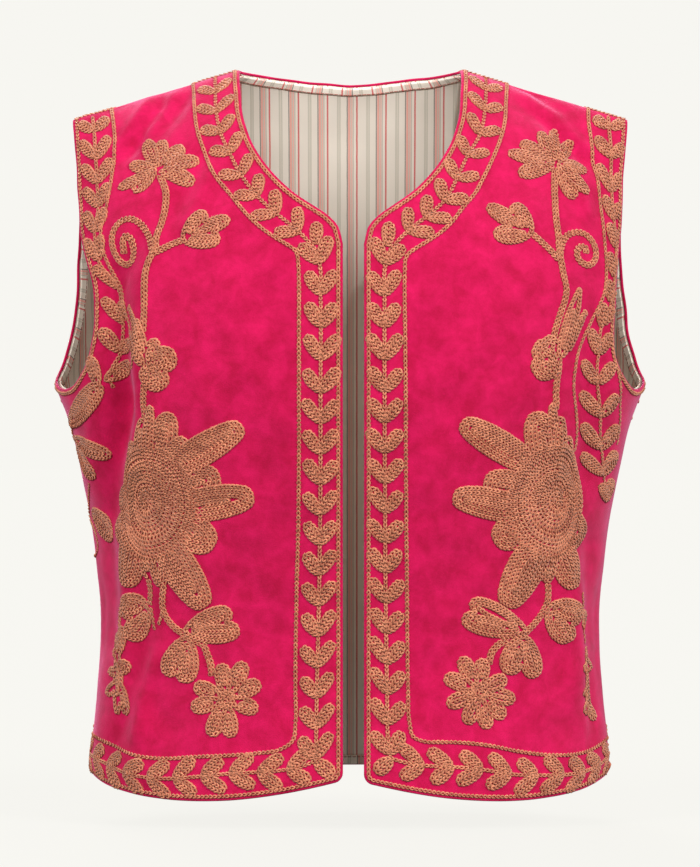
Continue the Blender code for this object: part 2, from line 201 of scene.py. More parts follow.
FRONT_ARMHOLE = (
    UNDERARM,
    *in_metres(
        ArmholePoint,
        (273.5, 208.5, 209.5),
        (272.5, 203, 204),
        (276.5, 195.5, 198.5),
        (285.9, 189.8, 192.5),
        (298.5, 184.9, 189),
        (312, 182.2, 187.9),
        (331, 182, 188.5),
        (348.7, 184, 189.4),
        (371, 189.3, 191.5),
        (391, 193.3, 194),
        (413, 194.7, 195.3),
        (443.2, 197.3, 197.5),
    ),
    SHOULDER_TIP,
)
BACK_ARMHOLE = (
    UNDERARM,
    *in_metres(
        ArmholePoint,
        (279.7, 212.8, 212.8),
        (283.8, 211.2, 211.2),
        (290.5, 208.7, 208.7),
        (301.5, 205.7, 205.7),
        (317, 202.7, 202.7),
        (335, 200.5, 200.5),
        (355, 198.8, 198.8),
        (376, 197.7, 197.7),
        (400, 197.4, 197.4),
        (435, 198.4, 198.4),
    ),
    SHOULDER_TIP,
)


class Fold(NamedTuple):
    face: int
    x: float
    height: float
    end_x: float
    end_height: float
    width: float
    rise: float  # ridges rise, hollows fall


FOLDS = in_metres(
    functools.partial(Fold, FRONT),
    (-168, 345, -160, 262, 12, -7),
    (-160, 262, -172, 190, 12, -6.5),
    (-148, 300, -149, 215, 11, 3),
    (-172, 155, -172, 95, 10, -5.5),
    (-161, 160, -160, 90, 9, 3),
    (-146, 128, -141, 52, 9, -3),
    (-139, 82, -152, 12, 10, 3.2),
    (-166, 441, -128, 476, 10, -3.2),
    (171, 160, 173, 50, 10, -4.5),
    (159, 150, 161, 55, 10, 3),
    (171, 310, 168, 215, 12, -4),
    (166, 441, 130, 475, 10, -3.2),
) + in_metres(
    functools.partial(Fold, BACK),
    (-92, 330, -78, 70, 18, -4.5),
    (98, 310, 86, 40, 18, -4.2),
    (-40, 200, -30, 10, 15, 3),
    (30, 170, 36, 20, 15, 2.6),
    (-168, 310, -120, 405, 14, -3.5),
    (166, 320, 124, 400, 14, -3.5),
    (-160, 190, -166, 40, 13, -4),
    (162, 180, 164, 60, 13, -3.6),
)
# Finer folds than the frame's, laid over them.
FINE_FOLDS = in_metres(
    functools.partial(Fold, FRONT),
    (-166, 444, -146, 474, 5, 3.2),
    (-157, 443, -136, 476, 4.4, -3.2),
    (-144, 458, -128, 482, 4.2, 3),
    (-134, 455, -116, 484, 4.6, -2.4),
    (-122, 400, -106, 435, 7, -2),
    (-112, 390, -100, 420, 6, 1.4),
    (-137, 375, -150, 330, 6, 1.6),
    (-152, 372, -166, 340, 6, -2.2),
    (-128, 300, -134, 258, 4, 1.2),
    (-149, 312, -152, 262, 5.2, 2.4),
    (-152, 262, -155, 205, 5.2, 1.8),
    (-162, 320, -166, 240, 7.5, -3.4),
    (-167, 240, -173, 185, 7.5, -2),
    (-182, 262, -186, 215, 5, 1.4),
    (-138, 80, -149, 30, 4, 2),
    (-150, 85, -160, 35, 6.5, -2.4),
    (-162, 40, -171, 8, 4.5, -1.1),
    (166, 446, 128, 482, 5, 2.8),
    (168, 436, 140, 466, 4.6, -2.8),
    (150, 474, 126, 490, 4, -2.2),
    (168, 398, 158, 424, 4.6, 1.8),
    (170, 405, 158, 372, 5.5, 0.9),
    (165, 330, 175, 300, 5, 0.9),
    (145, 285, 149, 235, 4.5, 0.9),
    (164, 130, 168, 35, 4.5, 1.1),
    (176, 80, 172, 20, 5, -1),
    (60, 200, 52, 120, 12, 1.2),
    (-52, 330, -70, 230, 13, -1.2),
    (70, 345, 64, 260, 12, -1.1),
) + in_metres(
    functools.partial(Fold, BACK),
    (-120, 440, -60, 395, 8, -1.2),
    (125, 435, 70, 400, 8, -1.2),
    (-65, 250, -52, 110, 7, 1.2),
    (58, 260, 64, 90, 7, 1.1),
    (-120, 210, -128, 30, 8, 1.3),
    (124, 230, 120, 50, 8, 1.2),
    (2, 120, -4, 20, 9, -1.1),
)


class Ripple(NamedTuple):
    x_turns: float  # waves for each metre
    height_turns: float
    start: float
    rise: float


# The slow unevenness of handled cloth.
RIPPLES = (
    Ripple(21.0, 9.0, 0.3, 0.00035),
    Ripple(-14.0, 17.0, 1.9, 0.00035),
    Ripple(33.0, -24.0, 4.1, 0.00018),
    Ripple(8.0, 37.0, 2.7, 0.00016),
    Ripple(-47.0, -31.0, 5.3, 0.00010),
)
SEAM_DIP = 0.0009  # a sewn seam draws the cloth in this far
SEAM_DIP_REACH = 0.0032

# --- How the cloth is cut ---

EDGE_SPACING = 0.0035
VELVET_CELL = 0.0042
LINING_CELL = 0.0052
CORNER_RADIUS = 0.0055  # of the fronts' lower corners
CORNER_STEPS = 5
EDGE_CLEARANCE = 0.6  # no point inside a panel is nearer to its edge than this share of a cell
MERGE_DISTANCE = 1e-9
HIDDEN_CELL = 1.4  # how much larger the cells are on a shell's unseen side
ROLL_TURNS = (90, 45, 0, -45, -90)  # degrees round a rolled edge, from its outer face to its inner one
CLOTH_GRID = (100, 160)  # steps round and up, for measuring the cloth
UP_COLUMN = 20  # the grid column that lengths up the cloth are measured on
FACING_WIDTH = 0.007
FACING_ROWS = 5
FACING_CREST = 0.0001  # a facing strip stands out this much along its middle
FACING_SHIFT = -0.0033  # how far its stripes are from starting like the lining's
TOPSTITCH_INSET = 0.0012


def smooth(table, column, at):
    """Reads one column of a table as a smooth curve over its first column."""
    knots = np.array([row[0] for row in table])
    values = np.array([row[column] for row in table])
    slopes = np.gradient(values, knots)
    at = np.clip(at, knots[0], knots[-1])
    before = np.clip(np.searchsorted(knots, at, side="right") - 1, 0, len(knots) - 2)
    span = knots[before + 1] - knots[before]
    t = (at - knots[before]) / span
    return (
        (1 + 2 * t) * (1 - t) ** 2 * values[before]
        + t * (1 - t) ** 2 * span * slopes[before]
        + t * t * (3 - 2 * t) * values[before + 1]
        + t * t * (t - 1) * span * slopes[before + 1]
    )


def hem_height(face, p):
    p = np.abs(p)
    if face == FRONT:
        return -HEM_DIP * np.sin(math.pi * np.clip(p, 0, 1) ** HEM_DIP_LEAN) ** HEM_DIP_CURVE
    return -BACK_HEM_DIP * np.cos(p * math.pi / 2) ** 2


def ridge_height(reach):
    """The shoulder seam's height, carried on over the neck as a low dome."""
    reach = np.abs(reach)
    dome = SHOULDER_SLOPE * NECK_POINT_REACH / 2
    over_neck = NECK_POINT_HEIGHT + dome * (1 - (reach / NECK_POINT_REACH) ** 2)
    outside = NECK_POINT_HEIGHT - SHOULDER_SLOPE * (reach - NECK_POINT_REACH)
    return np.where(reach < NECK_POINT_REACH, over_neck, outside)


def flare(p, height):
    """The side stands out round the underarm."""
    near = np.exp(-(((height - UNDERARM_FLARE_HEIGHT) / UNDERARM_FLARE_SPREAD) ** 2) / 2)
    return UNDERARM_FLARE * near * np.abs(p) ** 4


def bare_place(face, side, p, w):
    """A point of the form before it has folds, as an array of x, y, z with z as a height."""
    size = np.clip(np.abs(p), 0, 1)
    round_body = size * math.pi / 2
    out = np.sin(round_body) ** (2 / SECTION_POWER)
    forward = np.cos(round_body) ** (2 / SECTION_POWER)
    hem = hem_height(face, p)
    low_height = hem + np.clip(w, 0, 1) * (CHEST_HEIGHT - hem)
    lean = np.clip(w - 1, 0, 1) * math.pi / 2
    rise = np.sin(lean)
    level = np.cos(lean)
    shrink = level * (SHOULDER_ROUND[face] + (1 - SHOULDER_ROUND[face]) * level)
    depth = smooth(SECTIONS, 2 if face == FRONT else 3, low_height) * shrink
    width = np.where(w <= 1, smooth(SECTIONS, 1, low_height), smooth(YOKE, 1, rise))
    bare_reach = width * out
    high_height = CHEST_HEIGHT + rise * (ridge_height(bare_reach) - CHEST_HEIGHT)
    height = np.where(w <= 1, low_height, high_height)
    reach = bare_reach + flare(p, height)
    return np.stack([side * np.sign(p) * reach, face * depth * forward, height], axis=-1)


def tangents(surface, face, side, p, w):
    """The directions in space in which p and w grow, by central steps that stay on the surface."""
    low_p, high_p = np.maximum(p - NUDGE, -1), np.minimum(p + NUDGE, 1)
    low_w, high_w = np.maximum(w - NUDGE, 0), np.minimum(w + NUDGE, 2)
    along_p = surface(face, side, high_p, w) - surface(face, side, low_p, w)
    along_w = surface(face, side, p, high_w) - surface(face, side, p, low_w)
    return along_p / (high_p - low_p)[..., None], along_w / (high_w - low_w)[..., None]


def normals(surface, face, side, p, w):
    """Unit vectors out of a surface function, level with the seam plane along a seam."""
    out = np.cross(*tangents(surface, face, side, p, w)) * (-face * side)
    on_seam = (np.abs(p) > 1 - NUDGE) | (w > 2 - NUDGE)
    out[..., 1] = np.where(on_seam, 0.0, out[..., 1])
    return out / np.linalg.norm(out, axis=-1, keepdims=True)


def fold_lift(face, x, height):
    """How far the folds raise the cloth: soft across, and tapering at both ends."""
    lift = np.zeros_like(x)
    for fold in (fold for fold in FOLDS + FINE_FOLDS if fold.face == face):
        run_x = fold.end_x - fold.x
        run_z = fold.end_height - fold.height
        length = math.hypot(run_x, run_z)
        along = ((x - fold.x) * run_x + (height - fold.height) * run_z) / length**2
        across = ((x - fold.x) * run_z - (height - fold.height) * run_x) / length
        past = np.maximum(np.abs(along - 0.5) - 0.5, 0) * length
        near = (across / fold.width) ** 2 + (past / (FOLD_TAPER * fold.width)) ** 2
        lift += fold.rise * np.exp(-near)
    for ripple in RIPPLES:
        turns = ripple.x_turns * x + ripple.height_turns * height
        lift += ripple.rise * np.sin(2 * math.pi * turns + ripple.start)
    return lift


def folded_place(face, side, p, w):
    """A point of the outer cloth, folds and all."""
    bare = bare_place(face, side, p, w)
    to_seam = np.minimum((1 - np.abs(p)) * ACROSS, (2 - w) * UP)
    fade = np.clip(to_seam / FOLD_FADE, 0, 1)
    fade = fade * fade * (3 - 2 * fade)
    lift = fold_lift(face, bare[..., 0], bare[..., 2]) * fade
    lift -= SEAM_DIP * np.exp(-((to_seam / SEAM_DIP_REACH) ** 2))
    out = normals(bare_place, face, side, p, w)
    out[..., 1] *= np.clip(to_seam / SEAM_DIP_REACH, 0, 1)
    return bare + out * lift[..., None]


def place(face, side, flat, depth):
    """Points this deep inside the outer cloth, clear of the seam plane, with the origin at the neck."""
    p, w = flat[..., 0], flat[..., 1]
    out = normals(bare_place, face, side, p, w)
    points = folded_place(face, side, p, w) - np.asarray(depth)[..., None] * out
    points[..., 1] = face * np.maximum(face * points[..., 1], SEAM_GAP / 2)
    points[..., 2] -= NECK_POINT_HEIGHT
    return points


def flat_place(face, reach, height):
    """The p and w of points given by their reach from the centre line and height, by halving."""
    reach, height = np.asarray(reach, float), np.asarray(height, float)
    low, high = np.zeros_like(reach), np.ones_like(reach)
    for _ in range(PLACING_ROUNDS):
        p = (low + high) / 2
        hem = hem_height(face, p)
        bare_reach = reach - flare(p, height)
        rise = np.clip((height - CHEST_HEIGHT) / (ridge_height(bare_reach) - CHEST_HEIGHT), 0, 1)
        low_w = (height - hem) / (CHEST_HEIGHT - hem)
        w = np.where(height < CHEST_HEIGHT, low_w, 1 + np.arcsin(rise) * 2 / math.pi)
        low_width = smooth(SECTIONS, 1, np.minimum(height, CHEST_HEIGHT))
        width = np.where(height < CHEST_HEIGHT, low_width, smooth(YOKE, 1, rise))
        too_far = width * np.sin(p * math.pi / 2) ** (2 / SECTION_POWER) > bare_reach
        low, high = np.where(too_far, low, p), np.where(too_far, p, high)
    return np.stack([p, w], axis=-1)


# --- The panels ---


class Panel(NamedTuple):
    face: int
    side: int
    stretches: dict  # the panel's edge, in order round it
    free: dict  # which stretches aren't sewn to another panel


def run_along(line, metric=1.0):
    """How far along a line each of its points is."""
    steps = np.linalg.norm(np.diff(line, axis=0) * metric, axis=1)
    return np.concatenate([[0.0], np.cumsum(steps)])


def read_at(at, run, points):
    """The points at some distances along a line."""
    return np.stack([np.interp(at, run, column) for column in points.T], axis=-1)


def through(points, spacing=EDGE_SPACING, metric=(ACROSS, UP)):
    """Evenly spaced points on a smooth curve through a short list of points."""
    run = run_along(points, metric)
    table = np.column_stack([run, points])
    at = np.linspace(0, run[-1], math.ceil(run[-1] / spacing) + 1)
    return np.stack([smooth(table, 1, at), smooth(table, 2, at)], axis=-1)


def straight(start, end):
    start, end = np.array(start, float), np.array(end, float)
    steps = math.ceil(np.linalg.norm((end - start) * (ACROSS, UP)) / EDGE_SPACING)
    at = np.linspace(0, 1, steps + 1)[:, None]
    return (1 - at) * start + at * end


def rounded_corner(corner):
    """A front's lower corner: the point on its edge, the curve between, and the point on its hem."""
    along_p, along_w = tangents(bare_place, FRONT, LEFT, corner[:1], corner[1:])
    radius = CORNER_RADIUS / np.array([np.linalg.norm(along_p), np.linalg.norm(along_w)])
    turn = np.linspace(0, math.pi / 2, CORNER_STEPS + 1)
    return corner + radius * (1 - np.stack([np.cos(turn), np.sin(turn)], axis=-1))


@functools.cache
def front_panel(side):
    reach_column = 2 if side == LEFT else 1
    edge_reach = FRONT_GAP / 2 + side * GAP_CENTRE
    neck_reach = [
        row.reach
        + side * GAP_CENTRE * (NECK_POINT_HEIGHT - row.height) / (NECK_POINT_HEIGHT - V_HEIGHT)
        for row in NECKLINE
    ]
    neck = flat_place(FRONT, neck_reach, [row.height for row in NECKLINE])
    armhole = flat_place(
        FRONT, [row[reach_column] for row in FRONT_ARMHOLE], [row.height for row in FRONT_ARMHOLE]
    )
    armhole[0][0] = 1.0
    armhole[-1][1] = neck[-1][1] = 2.0
    heights = np.linspace(0, V_HEIGHT, round(V_HEIGHT / EDGE_SPACING))
    edge = flat_place(FRONT, np.full_like(heights, edge_reach), heights)
    edge[0][1] = 0.0
    edge[-1] = neck[0]
    corner = rounded_corner(edge[0])
    clear = edge[:, 1] > corner[0][1] + EDGE_SPACING / 2 / CHEST_HEIGHT
    stretches = {
        "hem": straight(corner[-1], (1.0, 0.0)),
        "side": straight((1.0, 0.0), armhole[0]),
        "armhole": through(armhole),
        "shoulder": straight(armhole[-1], neck[-1]),
        "neck": through(neck[::-1]),
        "edge": np.vstack([edge[clear][::-1], corner[:1]]),
        "corner": corner,
    }
    free = {name: name not in ("side", "shoulder") for name in stretches}
    return Panel(FRONT, side, stretches, free)


@functools.cache
def back_panel():
    armhole = flat_place(
        BACK, [row.left_reach for row in BACK_ARMHOLE], [row.height for row in BACK_ARMHOLE]
    )
    armhole[0][0] = 1.0
    armhole[-1][1] = 2.0
    reaches = np.linspace(0, NECK_POINT_REACH, round(NECK_POINT_REACH / EDGE_SPACING))
    rise = (NECK_POINT_HEIGHT - BACK_NECK_HEIGHT) * (reaches / NECK_POINT_REACH) ** BACK_NECK_CURVE
    neck = flat_place(BACK, reaches, BACK_NECK_HEIGHT + rise)
    neck[0][0] = 0.0
    neck[-1][1] = 2.0
    mirror = np.array([-1, 1])
    left_armhole = through(armhole)
    left_side = straight((1.0, 0.0), armhole[0])
    left_shoulder = straight(armhole[-1], neck[-1])
    half_hem = straight((0.0, 0.0), (1.0, 0.0))
    stretches = {
        "hem": np.vstack([half_hem[:0:-1] * mirror, half_hem]),
        "side": left_side,
        "armhole": left_armhole,
        "shoulder": left_shoulder,
        "neck": np.vstack([neck[:0:-1], neck * mirror]),
        "right shoulder": left_shoulder[::-1] * mirror,
        "right armhole": left_armhole[::-1] * mirror,
        "right side": left_side[::-1] * mirror,
    }
    free = {name: "side" not in name and "shoulder" not in name for name in stretches}
    return Panel(BACK, LEFT, stretches, free)


PANELS = {
    "front_right": lambda: front_panel(RIGHT),
    "front_left": lambda: front_panel(LEFT),
    "back": back_panel,
}


def edge_loop(panel):
    return np.vstack([stretch[:-1] for stretch in panel.stretches.values()])


def free_share(panel):
    """1 for each point of a panel's edge loop that is on a free edge, and 0 on a seam."""
    share = []
    for name, stretch in panel.stretches.items():
        share += [float(panel.free[name])] * (len(stretch) - 1)
    return np.array(share)


def unit(vectors):
    return vectors / np.maximum(np.linalg.norm(vectors, axis=-1, keepdims=True), 1e-12)


def move_in(face, points, before, after, distance):
    """Moves flat points to the left of the way they run, this far across the cloth."""
    along_p, along_w = tangents(bare_place, face, LEFT, points[:, 0], points[:, 1])
    basis = np.stack([along_p, along_w], axis=-1)
    way = unit(np.einsum("nij,nj->ni", basis, after - points))
    way += unit(np.einsum("nij,nj->ni", basis, points - before))
    inward = unit(np.cross(np.cross(along_p, along_w), way)) * np.asarray(distance)[..., None]
    square = np.einsum("nij,nik->njk", basis, basis)
    moved = np.linalg.solve(square, np.einsum("nij,ni->nj", basis, inward)[..., None])[..., 0]
    return np.clip(points + moved, (-1, 0), (1, 2))


def loop_inside(panel, loop, distance):
    """A panel's edge loop moved in across the cloth."""
    return move_in(panel.face, loop, np.roll(loop, 1, axis=0), np.roll(loop, -1, axis=0), distance)


def line_inside(face, line, distance):
    """An open line moved to the left of its way across the cloth."""
    before = np.vstack([2 * line[:1] - line[1:2], line[:-1]])
    after = np.vstack([line[1:], 2 * line[-1:] - line[-2:-1]])
    return move_in(face, line, before, after, np.full(len(line), distance))


def inside_polygon(points, polygon):
    """Which points have an odd number of the polygon's sides to their right."""
    start, end = polygon, np.roll(polygon, -1, axis=0)
    x, y = points[:, None, 0], points[:, None, 1]
    crosses = (start[:, 1] > y) != (end[:, 1] > y)
    rise = np.where(end[:, 1] == start[:, 1], 1, end[:, 1] - start[:, 1])
    at = start[:, 0] + (y - start[:, 1]) * (end[:, 0] - start[:, 0]) / rise
    return (crosses & (x < at)).sum(axis=1) % 2 == 1


def fill(loop, cell):
    """Points in offset rows inside a loop, and the triangles that join them all."""
    metric = np.array([ACROSS, UP])
    held = loop * metric
    low, high = held.min(axis=0), held.max(axis=0)
    columns = np.arange(low[0], high[0], cell)
    rows = np.arange(low[1], high[1], cell * math.sqrt(0.75))
    grid_x, grid_y = np.meshgrid(columns, rows)
    grid_x[1::2] += cell / 2
    lattice = np.column_stack([grid_x.ravel(), grid_y.ravel()])
    lattice = lattice[inside_polygon(lattice, held)]
    near = np.linalg.norm(lattice[:, None] - held[None], axis=-1).min(axis=1)
    lattice = lattice[near > cell * EDGE_CLEARANCE]
    points = np.vstack([held, lattice])
    edge_face = [list(range(len(held)))]
    found = delaunay_2d_cdt([tuple(point) for point in points], [], edge_face, 1, MERGE_DISTANCE)
    return np.array([tuple(v) for v in found[0]]) / metric, found[2]


# --- Cloth lengths ---


@functools.cache
def cloth_grid(face):
    """How far each point of a grid lies across and up the cloth."""
    p = np.linspace(0, 1, CLOTH_GRID[0] + 1)
    w = np.linspace(0, 2, CLOTH_GRID[1] + 1)
    points = bare_place(face, LEFT, *np.meshgrid(p, w))
    steps_across = np.linalg.norm(np.diff(points, axis=1), axis=-1)
    steps_up = np.linalg.norm(np.diff(points[:, UP_COLUMN], axis=0), axis=-1)
    across = np.pad(np.cumsum(steps_across, axis=1), ((0, 0), (1, 0)))
    return p, w, across, np.concatenate([[0.0], np.cumsum(steps_up)])


def cloth_rows(face, w):
    """The grid's lengths across the cloth at each of these w."""
    across = cloth_grid(face)[2]
    row = np.clip(w / 2 * CLOTH_GRID[1], 0, CLOTH_GRID[1] - 1e-6)
    below = row.astype(int)
    share = (row - below)[:, None]
    return across[below] * (1 - share) + across[below + 1] * share


def to_cloth(face, flat):
    """Metres of cloth across from the centre line and up from the hem, for p and w."""
    _, w_steps, _, up = cloth_grid(face)
    rows = cloth_rows(face, flat[:, 1])
    column = np.clip(np.abs(flat[:, 0]) * CLOTH_GRID[0], 0, CLOTH_GRID[0] - 1e-6)
    left = column.astype(int)
    index = np.arange(len(flat))
    across = rows[index, left] * (1 - column + left) + rows[index, left + 1] * (column - left)
    return np.stack([np.sign(flat[:, 0]) * across, np.interp(flat[:, 1], w_steps, up)], axis=-1)


def from_cloth(face, cloth):
    """The p and w for metres of cloth."""
    p_steps, w_steps, _, up = cloth_grid(face)
    w = np.interp(cloth[:, 1], up, w_steps)
    rows = cloth_rows(face, w)
    reach = np.abs(cloth[:, 0])[:, None]
    left = np.clip((rows <= reach).sum(axis=1) - 1, 0, CLOTH_GRID[0] - 1)
    index = np.arange(len(cloth))
    start, end = rows[index, left], rows[index, left + 1]
    p = p_steps[left] + (reach[:, 0] - start) / (end - start) / CLOTH_GRID[0]
    return np.stack([np.sign(cloth[:, 0]) * np.clip(p, 0, 1), w], axis=-1)


def seen_to_cloth(panel, points):
    """Metres of cloth for points drawn in millimetres on the worn front."""
    reach, height = np.array(points, float).T * MM
    return to_cloth(panel.face, flat_place(panel.face, np.maximum(reach, 0), height))


# --- The embroidery's drawing ---
# Millimetres out from the centre line and up from the hem, as the worn fronts are seen from straight
# ahead. They are ordinary flower, leaf and tendril shapes, each given by its foot, its tip and its width.


class Shape(NamedTuple):
    foot: tuple
    tip: tuple
    width: float
    bend: float = 0.0  # how far its middle is pushed to the left of its way
    low: float = 0.60  # the powers that its width follows from its foot and from its tip
    high: float = 0.40


petal = Shape
blade = functools.partial(Shape, low=0.40, high=0.70)
lobe = functools.partial(Shape, low=0.38, high=0.38)
finger = functools.partial(Shape, low=0.20, high=0.30)
leaf = functools.partial(Shape, low=0.60, high=0.55)


def grown(kind, foot, *rows):
    """Shapes of one kind from one foot, each given by its tip, its width and perhaps its bend."""
    return tuple(kind(foot, (reach, height), *rest) for reach, height, *rest in rows)


def apart(kind, foot, *rows):
    """The same, each to be sewn as a shape of its own."""
    return tuple((shape,) for shape in grown(kind, foot, *rows))


def path(*numbers):
    """Points given as one reach and height after another."""
    return tuple(zip(numbers[::2], numbers[1::2]))


class Drawing(NamedTuple):
    shapes: tuple
    blossom: tuple
    blossom_petals: tuple
    rosette: tuple
    rosette_tips: tuple
    double_rows: tuple
    single_rows: tuple
    border_line: tuple
    front_stem: tuple
    front_leaves: tuple  # from its foot to the first pair, and between pairs
    hem_stem: tuple
    hem_leaves: tuple  # from its tip to the last pair, and between pairs
    armhole_line: tuple
    armhole_stem: tuple
    neck_feet: tuple
    lone_leaves: tuple
    armhole_leaves: tuple
    armhole_tails: tuple


